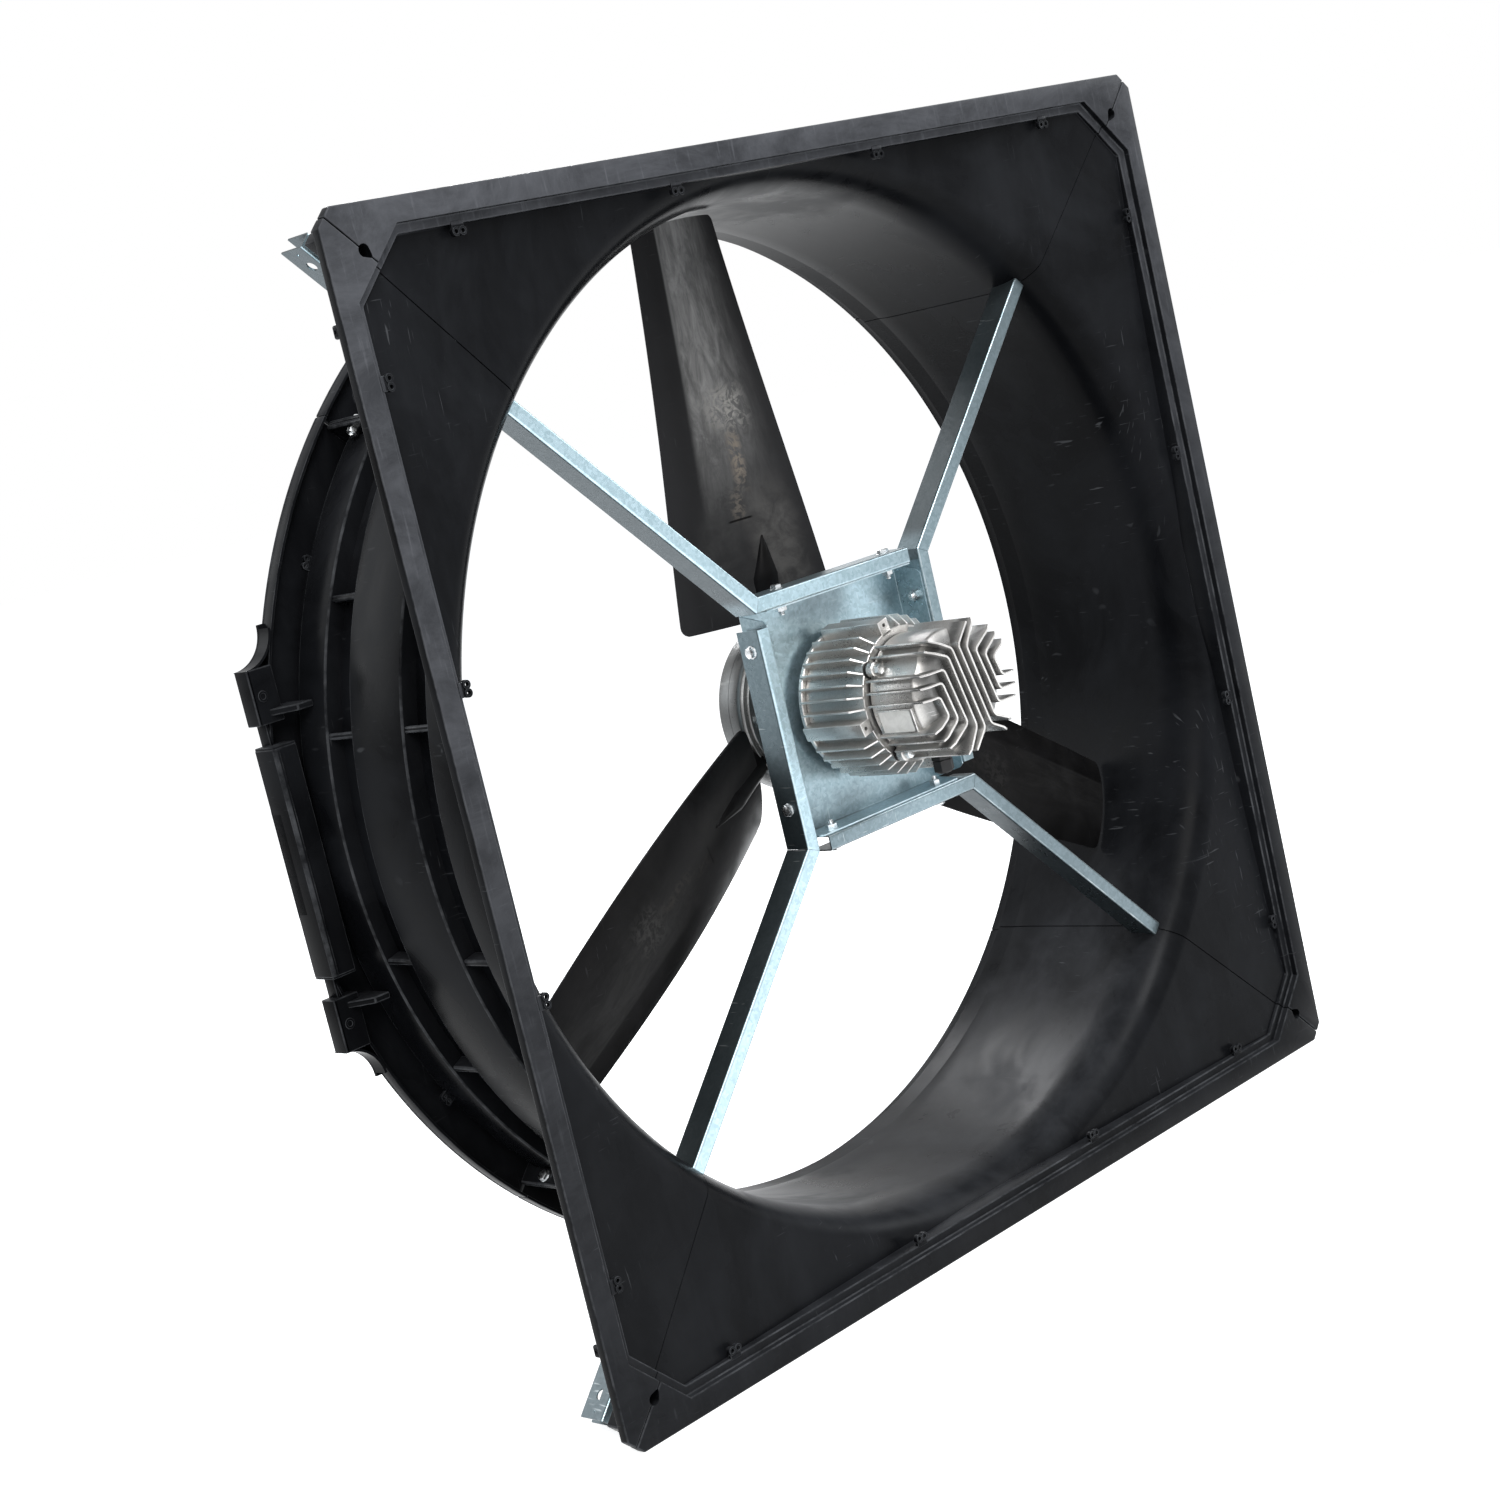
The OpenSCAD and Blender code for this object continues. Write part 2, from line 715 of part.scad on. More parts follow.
// Fins from one screw column to the next
fin_step = 9.6;
fin_start = [14, 17];
module fins() {
  for (q = [0:3])
    for (i = [0:6])
      rotate(180 + column_turn - 90 * q - fin_start[q % 2] - fin_step * i)
        translate([fin_root_r - 2, -fin_t / 2])
          square([fin_r - fin_root_r + 2, fin_t]);
}
module columns() {
  for (q = [0:3])
    rotate(180 + column_turn - 90 * q)
      translate([fin_root_r - 3, -column_w / 2])
        square([fin_r - fin_root_r + 4, column_w]);
}
module column_places() {
  for (q = [0:3])
    translate([
      (fin_r - 6) * cos(180 + column_turn - 90 * q), 0,
      (fin_r - 6) * sin(180 + column_turn - 90 * q)
    ])
      children();
}
module motor_body() {
  color(casting)
    difference() {
      union() {
        rod_y(fin_root_r, body_front_y, body_rear_y);
        intersection() {
          layer(body_front_y, body_rear_y)
            fins();
          turned()
            polygon([
              [0, body_front_y], [fin_root_r + 2, body_front_y],
              [fin_r, body_front_y + 15], [fin_r, body_rear_y - 3],
              [fin_r - 3, body_rear_y], [0, body_rear_y]
            ]);
        }
        layer(body_front_y, body_rear_y)
          columns();
        cap_bolt_places()
          rod_y(cap_boss_d / 2, body_front_y, body_front_y + 14);
      }
      rod_y(body_bore_r, body_front_y - 1, body_rear_y + 1);
      column_places()
        rod_y(2.5, body_front_y - 1, body_front_y + 22);
      cap_bolt_places()
        rod_y(3 + seat_clear, body_front_y - 1, body_front_y + 12);
    }
}
module front_shield() {
  seat = body_front_y + 4;
  color(casting)
    difference() {
      union() {
        rod_y(body_bore_r - 0.05, body_front_y, body_front_y + 4);
        rod_y(bearing_r + 5, body_front_y, seat + bearing_w - 4);
      }
      rod_y(bearing_r + 0.02, seat - 4 + 2, seat + bearing_w);
      rod_y(shaft_r + 2, body_front_y - 1, seat + 1);
      for (a = [20:40:340])
        rotate([0, a, 0])
          translate([0, 0, 56])
            rod_y(6, body_front_y - 1, body_front_y + 5);
    }
}
rear_bearing_y = body_rear_y + collar_d - bearing_w;
module rear_shield() {
  color(casting)
    difference() {
      union() {
        rod_y(fin_root_r + 7, body_rear_y, body_rear_y + collar_d);
        rod_y(body_bore_r - 0.05, body_rear_y - 5, body_rear_y + eps);
        rod_y(spigot_r, body_rear_y, plate_y);
        rod_y(bearing_r + 5, rear_bearing_y, body_rear_y);
      }
      rod_y(bearing_r + 0.02, rear_bearing_y - 1, rear_bearing_y + bearing_w);
      rod_y(shaft_r + 8, rear_bearing_y, plate_y + 1);
      for (a = [45:90:315])
        rotate([0, a, 0])
          translate([0, 0, motor_bolt_r])
            rod_y(bolt_d / 2 + seat_clear, plate_y - 16, plate_y + 1);
    }
}
module bearing_places() {
  translate([0, body_front_y + 2, 0])
    children();
  translate([0, rear_bearing_y, 0])
    children();
}
module bearing_outer_rings() {
  color("silver")
    bearing_places()
      difference() {
        tube_y(bearing_r, bearing_r - 5, 0, bearing_w);
        turned()
          translate([(bearing_r + bearing_bore_r) / 2, bearing_w / 2])
            circle(r = 4.4, $fn = 32);
      }
}
module bearing_inner_rings() {
  color("silver")
    bearing_places()
      difference() {
        tube_y(bearing_bore_r + 5, bearing_bore_r + 0.02, 0, bearing_w);
        turned()
          translate([(bearing_r + bearing_bore_r) / 2, bearing_w / 2])
            circle(r = 4.4, $fn = 32);
      }
}
module bearing_balls() {
  color("silver")
    bearing_places()
      for (a = [0:40:320])
        rotate([0, a, 0])
          translate([0, bearing_w / 2, (bearing_r + bearing_bore_r) / 2])
            sphere(r = 4.2, $fn = 24);
}
module shaft_seal() {
  color([0.1, 0.1, 0.1])
    tube_y(shaft_r + 7.95, shaft_r + 0.3, plate_y - 8, plate_y - 1);
}
slot_count = 12;
module stator_slots(extra) {
  for (i = [0:slot_count - 1])
    rotate(i * 360 / slot_count)
      translate([stator_in_r + 4 - extra, -5 - extra])
        square([14 + 2 * extra, 10 + 2 * extra]);
}
module stator_core() {
  color([0.35, 0.35, 0.37])
    layer(stator_mid - stator_len / 2, stator_mid + stator_len / 2)
      difference() {
        circle(r = stator_out_r, $fn = 120);
        circle(r = stator_in_r, $fn = 120);
        stator_slots(0.3);
      }
}
module stator_windings() {
  winding_over = 9;
  color([0.62, 0.32, 0.14]) {
    layer(stator_mid - stator_len / 2 - 1, stator_mid + stator_len / 2 + 1)
      stator_slots(0);
    for (s = [-1, 1]) {
      y0 = stator_mid + s * (stator_len / 2 + 0.4 + winding_over / 2);
      tube_y(stator_in_r + 18, stator_in_r + 3.5, y0 - winding_over / 2, y0 + winding_over / 2);
    }
  }
}
module rotor_core() {
  color([0.4, 0.4, 0.42])
    tube_y(stator_in_r - air_gap - 3, shaft_r, stator_mid - stator_len / 2,
      stator_mid + stator_len / 2);
}
module rotor_magnets() {
  color([0.3, 0.3, 0.33])
    layer(stator_mid - stator_len / 2, stator_mid + stator_len / 2)
      difference() {
        circle(r = stator_in_r - air_gap);
        circle(r = stator_in_r - air_gap - 3);
        for (i = [0:9])
          rotate(i * 36)
            translate([0, -1.5])
              square([stator_in_r + 5, 3]);
      }
}
shaft_end_y = hub_rear_y + 4;
module shaft() {
  color([0.7, 0.7, 0.7])
    difference() {
      union() {
        rod_y(shaft_r, body_front_y + 1, shaft_end_y);
        rod_y(shaft_r + 3, hub_front_y - 8, hub_front_y);
      }
      translate([-4, hub_front_y + 4, shaft_r - 4])
        cube([8, 2 * hub_half_t - 8, 10]);
      rod_y(5 + seat_clear, shaft_end_y - 26, shaft_end_y + 1);
    }
}
module shaft_key() {
  color([0.6, 0.6, 0.6])
    translate([-4 + 0.05, hub_front_y + 5, shaft_r - 3.9])
      cube([7.9, 2 * hub_half_t - 10, 7]);
}

// Lines of the ribs on the cap, seen from the front, for one half of the cap;
// the other half is the same, turned by half a turn about the cap's middle
rib_lines = [
  [[-86, 1.5], [-59.6, 1.5], [-50.6, -25], [-77, -40]],
  [[-85, 17], [-50.4, 17], [-36.2, -32], [-66, -52]],
  [[-84, 32], [-42.3, 31.5], [-21, -41], [-57.5, -63]],
  [[-70.5, 61], [-30, 44], [-6.2, -48.5], [-28.5, -79]],
  [[-59, 72], [-20.5, 52.5], [8, -53.5], [-15, -77]]
];
cap_mid_z = 2;
rib_limit_r = 88;
cap_seat_y = cap_back_y - 3;
module cap_ribs() {
  for (turn = [0, 180])
    translate([0, cap_mid_z])
      rotate(turn)
        translate([0, -cap_mid_z])
          for (line = rib_lines)
            polygon(strip(line, cap_rib_t / 2, -cap_rib_t / 2));
}
module cap_bolt_places() {
  for (a = [0:90:270])
    translate([cap_bolt_r * sin(a - cap_bolt_turn), 0, cap_bolt_r * cos(a - cap_bolt_turn)])
      children();
}
module electronics_cap() {
  bolt_seat_y = cap_back_y - 14;
  color(casting)
    difference() {
      union() {
        turned()
          polygon([
            [0, cap_base_y], [cap_r - 16, cap_base_y], [cap_r, cap_base_y + 16],
            [cap_r, cap_back_y], [0, cap_back_y]
          ]);
        intersection() {
          layer(-cap_tip, cap_seat_y)
            cap_ribs();
          turned()
            polygon([
              [0, -cap_tip], [rib_limit_r - 12, -cap_tip],
              [rib_limit_r, -cap_tip + 6], [rib_limit_r, cap_seat_y], [0, cap_seat_y]
            ]);
        }
        cap_bolt_places()
          rod_y(cap_boss_d / 2, bolt_seat_y, cap_back_y);
        // flat pad for the rating plate
        rotate([0, -label_turn, 0])
          translate([-cap_r - 3, cap_base_y + 19.5, label_mid - 1.5 - label_h / 2])
            cube([20, label_w + 8, label_h + 3]);
        translate([0, cap_back_y - 24, -cap_r - 2])
          cylinder(r = 16, h = 12);
      }
      turned()
        polygon([
          [0, cap_base_y + cap_wall], [cap_r - 18, cap_base_y + cap_wall],
          [cap_r - cap_wall, cap_base_y + 18], [cap_r - cap_wall, cap_back_y + 1],
          [0, cap_back_y + 1]
        ]);
      cap_bolt_places() {
        rod_y(3 + bolt_clear / 2, bolt_seat_y - 1, cap_back_y + 1);
        rod_y(bolt_access_r, -cap_tip - 1, bolt_seat_y);
      }
      translate([0, cap_back_y - 24, -cap_r - 10])
        cylinder(r = 8 + seat_clear, h = 30);
      rotate([0, -label_turn, 0])
        translate([-cap_r - 4, cap_base_y + 23.5, label_mid - label_h / 2])
          cube([2, label_w, label_h]);
    }
}
module rating_plate() {
  color([0.75, 0.75, 0.73])
    rotate([0, -label_turn, 0])
      translate([-cap_r - 2.6, cap_base_y + 23.5 + 0.3, label_mid - label_h / 2 + 0.3])
        cube([0.6, label_w - 0.6, label_h - 0.6]);
}
module cap_screws() {
  color(zinc)
    cap_bolt_places()
      translate([0, cap_back_y - 14, 0])
        rotate([90, 0, 0])
          hex_bolt(6, 10, 4, 14 + gasket_t + 10);
}
module cap_gasket() {
  color([0.05, 0.05, 0.05])
    difference() {
      union() {
        rod_y(cap_r - 1, cap_back_y, body_front_y);
        cap_bolt_places()
          rod_y(cap_boss_d / 2 - 1, cap_back_y, body_front_y);
      }
      rod_y(body_bore_r - 4, cap_back_y - 1, body_front_y + 1);
      cap_bolt_places()
        rod_y(3 + bolt_clear / 2, cap_back_y - 1, body_front_y + 1);
    }
}
board_y = cap_back_y - 30;
module circuit_board() {
  color([0.1, 0.35, 0.18]) {
    difference() {
      rod_y(cap_r - cap_wall - 0.3, board_y, board_y + 1.6);
      // notch round the end of the gland
      translate([-11, board_y - 1, -cap_r])
        cube([22, 4, cap_r - 66]);
    }
    for (a = [0:60:300])
      rotate([0, a, 0])
        translate([-6, board_y + 1.6 - eps, 50])
          cube([12, 5, 9]);
  }
}
module capacitors() {
  color([0.15, 0.2, 0.3])
    for (a = [30:60:330])
      rotate([0, a, 0])
        translate([0, 0, 40])
          rod_y(10, cap_base_y + cap_wall + 8, board_y);
}
gland_y = cap_back_y - 24;
module cable_gland() {
  color([0.08, 0.08, 0.08])
    difference() {
      translate([0, gland_y, -cap_r - 2]) {
        translate([0, 0, -8])
          hex_rod(24, 8);
        translate([0, 0, -16])
          cylinder(r = 9, h = 9);
        cylinder(r = 8, h = 10);
      }
      translate([0, gland_y, -cap_r - 30])
        cylinder(r = gland_bore_r + 2, h = 60);
    }
}
module gland_nut() {
  color([0.08, 0.08, 0.08])
    difference() {
      translate([0, gland_y, -cap_r - 25]) {
        hex_rod(23, 15);
        translate([0, 0, -3])
          cylinder(r1 = 7.5, r2 = 11, h = 3 + eps);
      }
      translate([0, gland_y, -cap_r - 19])
        cylinder(r = 9 + seat_clear, h = 12);
      translate([0, gland_y, -cap_r - 30])
        cylinder(r = gland_bore_r + 1, h = 60);
    }
}
module gland_seal() {
  color([0.2, 0.2, 0.2])
    translate([0, gland_y, -cap_r - 17.9])
      difference() {
        cylinder(r = gland_bore_r + 1.9, h = 17);
        translate([0, 0, -1])
          cylinder(r = gland_bore_r, h = 20);
      }
}

// A blade stands up from the shaft. Its sections lie on cylinders about the
// shaft, u is the way round and w the way back.
stations = 16;
function along(t) = blade_root_r + (blade_tip_r - blade_root_r) * t;
function chord(t) = root_chord + (tip_chord - root_chord) * t;
function pitch(t) = tip_pitch + (root_pitch - tip_pitch) * pow(1 - t, 1.7);
function back(t) = root_back * pow(1 - t, 2) - 3;
function thick(t) = root_t + (tip_t - root_t) * t;
// Places across the blade from its rear edge to its front edge
steps = [0, 0.02, 0.08, 0.2, 0.35, 0.5, 0.65, 0.8, 0.92, 0.98, 1];
function bow(c) = 4 * c * (1 - c);
function fat(c) = 0.5 * pow(bow(c), 0.45) + 0.001;
function blade_point(t, c, s) =
  let (
    along_chord = (c - 0.5) * chord(t),
    off = -camber * chord(t) * bow(c) + s * thick(t) / 2 * (c == 0 || c == 1 ? 0.3 : 2 * fat(c)),
    u = blade_shift + along_chord * cos(pitch(t)) + off * sin(pitch(t)),
    w = impeller_y + back(t) - along_chord * sin(pitch(t)) + off * cos(pitch(t)),
    r = along(t)
  )
  [u, w, sqrt(r * r - u * u)];
ring_n = 2 * len(steps);
function blade_ring(t) = concat(
  [for (c = steps) blade_point(t, c, -1)],
  [for (c = flip(steps)) blade_point(t, c, 1)]
);
blade_points = [for (i = [0:stations - 1]) each blade_ring(i / (stations - 1))];
blade_faces = concat(
  [for (i = [0:stations - 2], j = [0:ring_n - 1])
    let (k = (j + 1) % ring_n)
    [i * ring_n + j, i * ring_n + k, (i + 1) * ring_n + k]],
  [for (i = [0:stations - 2], j = [0:ring_n - 1])
    let (k = (j + 1) % ring_n)
    [i * ring_n + j, (i + 1) * ring_n + k, (i + 1) * ring_n + j]],
  [for (j = [0:len(steps) - 2]) [j, ring_n - 1 - j, j + 1]],
  [for (j = [0:len(steps) - 2]) [j + 1, ring_n - 1 - j, ring_n - 2 - j]],
  [for (j = [0:len(steps) - 2])
    let (b = (stations - 1) * ring_n)
    [b + j, b + j + 1, b + ring_n - 1 - j]],
  [for (j = [0:len(steps) - 2])
    let (b = (stations - 1) * ring_n)
    [b + j + 1, b + ring_n - 2 - j, b + ring_n - 1 - j]]
);
shank_in = 34;
collar_from = 52;
collar_to = 62;
collar_over = 5;
module blade() {
  color(plastic) {
    polyhedron(points = blade_points, faces = [for (f = blade_faces) flip(f)]);
    translate([0, impeller_y, 0])
      rotate_extrude()
        polygon([
          [0, shank_in], [shank_r, shank_in], [shank_r, collar_from],
          [shank_r + collar_over, collar_from], [shank_r + collar_over, collar_to],
          [shank_r, collar_to], [shank_r, blade_root_r - 30], [shank_r - 4, blade_root_r],
          [1.5, blade_root_r + 38], [0, blade_root_r + 38]
        ]);
  }
}
module blade_sockets() {
  for (a = [0:120:240])
    rotate([0, a, 0])
      translate([0, impeller_y, 0])
        rotate_extrude()
          polygon([
            [0, shank_in - 0.3], [shank_r + seat_clear, shank_in - 0.3],
            [shank_r + seat_clear, collar_from - seat_clear],
            [shank_r + collar_over + seat_clear, collar_from - seat_clear],
            [shank_r + collar_over + seat_clear, collar_to + seat_clear],
            [shank_r + seat_clear, collar_to + seat_clear],
            [shank_r + seat_clear, hub_r + 20], [0, hub_r + 20]
          ]);
}
module hub_bolt_places() {
  for (a = [0:120:240])
    for (s = [-1, 1])
      translate([
        hub_bolt_r * sin(a + s * hub_bolt_turn), 0, hub_bolt_r * cos(a + s * hub_bolt_turn)
      ])
        children();
}
module hub_cuts() {
  blade_sockets();
  rod_y(shaft_r + 0.02, hub_front_y - 1, hub_rear_y + 1);
  translate([-4, hub_front_y - 1, 0])
    cube([8, 2 * hub_half_t + 4, shaft_r + 3.3]);
  hub_bolt_places()
    rod_y(bolt_hole_r, hub_front_y - 1, hub_rear_y + 1);
}
// Stepped rings and pockets between the sockets
module hub_front() {
  color(casting)
    difference() {
      turned()
        polygon([
          [0, hub_front_y], [34, hub_front_y], [40, hub_front_y + 3],
          [hub_r - 12, hub_front_y + 3], [hub_r - 12, hub_front_y], [hub_r - 8, hub_front_y],
          [hub_r - 8, hub_front_y + 6], [hub_r - 4, hub_front_y + 6],
          [hub_r - 4, hub_front_y + 12], [hub_r, hub_front_y + 14],
          [hub_r, impeller_y - hub_gap / 2], [0, impeller_y - hub_gap / 2]
        ]);
      hub_cuts();
      pocket_rings(hub_front_y - 1, hub_front_y + 20);
    }
}
module pocket_rings(y0, y1) {
  layer(y0, y1)
    for (a = [60:120:300])
      rotate(a)
        intersection() {
          difference() {
            circle(r = hub_bolt_r - 12);
            circle(r = 44);
          }
          polygon([[0, 12], [60, 120], [-60, 120]]);
        }
}
module hub_rear() {
  color(casting)
    difference() {
      turned()
        polygon([
          [0, impeller_y + hub_gap / 2], [hub_r, impeller_y + hub_gap / 2],
          [hub_r, hub_rear_y - 12], [hub_r - 8, hub_rear_y - 4], [hub_r - 14, hub_rear_y - 4],
          [40, hub_rear_y - 4], [34, hub_rear_y], [0, hub_rear_y]
        ]);
      hub_cuts();
      pocket_rings(hub_rear_y - 20, hub_rear_y + 1);
    }
}
module hub_bolts() {
  grip = 2 * hub_half_t + hub_gap - 7;
  color(zinc)
    hub_bolt_places()
      translate([0, hub_front_y + 3, 0])
        rotate([90, 0, 0])
          hex_bolt(bolt_d, bolt_af, bolt_head, grip + nut_h + 3);
}
module hub_nuts() {
  color(zinc)
    hub_bolt_places()
      translate([0, hub_rear_y - 4, 0])
        rotate([-90, 0, 0])
          hex_nut(bolt_d, bolt_af, nut_h);
}
module shaft_washer() {
  color(zinc)
    tube_y(24, 5.3, shaft_end_y, shaft_end_y + 4);
}
module shaft_bolt() {
  color(zinc)
    translate([0, shaft_end_y + 4, 0])
      rotate([-90, 0, 0])
        hex_bolt(10, 16, 6.4, 26);
}

panel();  // panel_top
rotate([0, 90, 0]) panel();  // panel_right
rotate([0, 180, 0]) panel();  // panel_bottom
rotate([0, 270, 0]) panel();  // panel_left
seam_bolts();
seam_nuts();
strut();  // strut_upper_left
rotate([0, 90, 0]) strut();  // strut_upper_right
rotate([0, 180, 0]) strut();  // strut_lower_right
rotate([0, 270, 0]) strut();  // strut_lower_left
motor_plate();
plate_bolts();
plate_nuts();
motor_screws();
motor_body();
front_shield();
rear_shield();
bearing_outer_rings();
shaft_seal();
stator_core();
stator_windings();
electronics_cap();
cap_screws();
cap_gasket();
rating_plate();
circuit_board();
capacitors();
cable_gland();
gland_nut();
gland_seal();
shaft();
shaft_key();
rotor_core();
rotor_magnets();
bearing_inner_rings();
bearing_balls();
hub_front();
hub_rear();
blade();  // blade_1
rotate([0, 120, 0]) blade();  // blade_2
rotate([0, 240, 0]) blade();  // blade_3
hub_bolts();
hub_nuts();
shaft_washer();
shaft_bolt();
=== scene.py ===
import json
import math

import bmesh
import bpy
from mathutils import Matrix, Vector


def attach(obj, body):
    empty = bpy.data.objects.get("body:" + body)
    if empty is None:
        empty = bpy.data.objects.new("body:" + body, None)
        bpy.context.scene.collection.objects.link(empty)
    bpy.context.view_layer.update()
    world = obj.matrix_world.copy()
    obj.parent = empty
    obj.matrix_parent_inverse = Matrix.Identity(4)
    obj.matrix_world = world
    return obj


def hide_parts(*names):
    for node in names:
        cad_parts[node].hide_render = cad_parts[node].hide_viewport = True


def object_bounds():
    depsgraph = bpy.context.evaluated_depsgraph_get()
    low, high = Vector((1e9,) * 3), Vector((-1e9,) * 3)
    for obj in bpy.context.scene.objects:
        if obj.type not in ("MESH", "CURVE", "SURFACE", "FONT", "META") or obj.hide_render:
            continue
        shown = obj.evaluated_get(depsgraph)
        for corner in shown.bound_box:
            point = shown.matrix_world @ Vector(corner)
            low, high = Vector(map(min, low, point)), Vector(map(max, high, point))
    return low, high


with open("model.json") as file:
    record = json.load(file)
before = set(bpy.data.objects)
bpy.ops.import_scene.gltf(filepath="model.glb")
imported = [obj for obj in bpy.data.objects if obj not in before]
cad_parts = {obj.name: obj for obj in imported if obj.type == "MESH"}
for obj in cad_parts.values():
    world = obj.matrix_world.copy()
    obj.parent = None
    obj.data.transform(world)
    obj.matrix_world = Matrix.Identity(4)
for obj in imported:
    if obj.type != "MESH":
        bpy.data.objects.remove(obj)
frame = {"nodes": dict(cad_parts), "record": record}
cadLow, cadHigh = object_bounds()
cadNodes = frame["nodes"]


# Camera, floor and light

photoView = {
    "lens": 64.04,
    "sensor": 36.0,
    "shiftX": 0.0211,
    "shiftY": 0.0245,
    "place": (-2.3871, -2.2714, 0.4717),
    "forward": (0.6608, 0.7334, -0.1597),
    "up": (0.2766, -0.0402, 0.9601),
}

studio = {
    "floorSide": 60.0,
    "floorColour": (0.93, 0.935, 0.94, 1.0),
    "floorLift": 0.72,
    "worldColour": (0.93, 0.965, 1.0, 1.0),
    "worldStrength": 0.38,
    # name, place, looks at, width, height, watts, colour
    "lamps": [
        ("keyLamp", (-3.4, -2.8, 3.2), (0.0, 0.1, 0.0), 2.6, 2.6, 150.0, (1.0, 0.985, 0.96)),
        ("sideLamp", (4.2, -1.2, 2.2), (0.0, 0.1, 0.0), 1.8, 2.4, 60.0, (0.93, 0.97, 1.0)),
        ("topLamp", (-0.2, -1.8, 3.7), (0.3, 0.05, -0.5), 2.0, 1.2, 135.0, (0.97, 0.985, 1.0)),
        ("sheenLamp", (1.18, 2.07, 1.49), (0.24, 0.13, -0.59), 0.9, 0.4, 36.0, (0.97, 0.98, 1.0)),
        ("backLamp", (-2.4, 3.4, 1.8), (0.0, 0.2, 0.0), 2.4, 2.0, 45.0, (0.95, 0.98, 1.0)),
    ],
}


def makeCamera(settings):
    data = bpy.data.cameras.new("photoCamera")
    data.lens = settings["lens"]
    data.sensor_width = settings["sensor"]
    data.shift_x = settings["shiftX"]
    data.shift_y = settings["shiftY"]
    data.clip_start = 0.05
    data.clip_end = 100.0
    camera = bpy.data.objects.new("photoCamera", data)
    forward = Vector(settings["forward"]).normalized()
    right = forward.cross(Vector(settings["up"])).normalized()
    up = right.cross(forward)
    turn = Matrix((right, up, -forward)).transposed()
    camera.matrix_world = Matrix.Translation(settings["place"]) @ turn.to_4x4()
    bpy.context.scene.collection.objects.link(camera)
    bpy.context.scene.camera = camera


def makeLamps(settings):
    for name, place, target, width, height, watts, colour in settings["lamps"]:
        data = bpy.data.lights.new(name, "AREA")
        data.shape = "RECTANGLE"
        data.size = width
        data.size_y = height
        data.energy = watts
        data.color = colour
        lamp = bpy.data.objects.new(name, data)
        away = Vector(place) - Vector(target)
        lamp.matrix_world = Matrix.Translation(place) @ away.to_track_quat("Z", "Y").to_matrix().to_4x4()
        bpy.context.scene.collection.objects.link(lamp)


def addSeen(nodes, links):
    # 1 for what the camera sees itself, in a mirror or through glass
    path = nodes.new("ShaderNodeLightPath")
    value = path.outputs["Is Camera Ray"]
    for other in ("Is Glossy Ray", "Is Transmission Ray"):
        most = nodes.new("ShaderNodeMath")
        most.operation = "MAXIMUM"
        links.new(value, most.inputs[0])
        links.new(path.outputs[other], most.inputs[1])
        value = most.outputs[0]
    return value


def showWhite(nodes, links, lit, output):
    # the world looks plain white; the object is lit by the other shader
    white = nodes.new("ShaderNodeBackground")
    white.inputs["Color"].default_value = (1.0, 1.0, 1.0, 1.0)
    white.inputs["Strength"].default_value = 1.0
    mix = nodes.new("ShaderNodeMixShader")
    links.new(addSeen(nodes, links), mix.inputs[0])
    links.new(lit, mix.inputs[1])
    links.new(white.outputs[0], mix.inputs[2])
    links.new(mix.outputs[0], output.inputs["Surface"])


def makeWorld(settings):
    world = bpy.data.worlds.new("studioWorld")
    bpy.context.scene.world = world
    world.use_nodes = True
    nodes, links = world.node_tree.nodes, world.node_tree.links
    nodes.clear()
    output = nodes.new("ShaderNodeOutputWorld")
    dim = nodes.new("ShaderNodeBackground")
    dim.inputs["Color"].default_value = settings["worldColour"]
    dim.inputs["Strength"].default_value = settings["worldStrength"]
    showWhite(nodes, links, dim.outputs[0], output)


def makeFloor(settings):
    mesh = bpy.data.meshes.new("studioFloor")
    bm = bmesh.new()
    bmesh.ops.create_grid(bm, x_segments=1, y_segments=1, size=settings["floorSide"] / 2)
    bmesh.ops.translate(bm, verts=bm.verts, vec=(0.0, 0.0, cadLow.z - 0.0002))
    bm.to_mesh(mesh)
    bm.free()
    floor = bpy.data.objects.new("studioFloor", mesh)
    bpy.context.scene.collection.objects.link(floor)
    material = bpy.data.materials.new("floorPaper")
    material.use_nodes = True
    nodes, links = material.node_tree.nodes, material.node_tree.links
    nodes.clear()
    output = nodes.new("ShaderNodeOutputMaterial")
    paper = nodes.new("ShaderNodeBsdfDiffuse")
    paper.inputs["Color"].default_value = settings["floorColour"]
    lift = nodes.new("ShaderNodeEmission")
    lift.inputs["Strength"].default_value = settings["floorLift"]
    links.new(addSeen(nodes, links), lift.inputs["Color"])
    both = nodes.new("ShaderNodeAddShader")
    links.new(paper.outputs[0], both.inputs[0])
    links.new(lift.outputs[0], both.inputs[1])
    links.new(both.outputs[0], output.inputs["Surface"])
    mesh.materials.append(material)


makeCamera(photoView)
makeLamps(studio)
makeWorld(studio)
makeFloor(studio)
bpy.context.scene.view_settings.view_transform = "Standard"
print("camera, floor and lamps are in place")


# Shared finish effects, each one node group


def newGroup(name, inputs, outputs):
    tree = bpy.data.node_groups.new(name, "ShaderNodeTree")
    for label, kind, value in inputs:
        socket = tree.interface.new_socket(name=label, in_out="INPUT", socket_type="NodeSocket" + kind)
        if value is not None:
            socket.default_value = value
    for label, kind in outputs:
        tree.interface.new_socket(name=label, in_out="OUTPUT", socket_type="NodeSocket" + kind)
    return tree, tree.nodes.new("NodeGroupInput"), tree.nodes.new("NodeGroupOutput")


def feed(tree, socket, value):
    if hasattr(value, "is_output"):
        tree.links.new(value, socket)
    else:
        socket.default_value = value


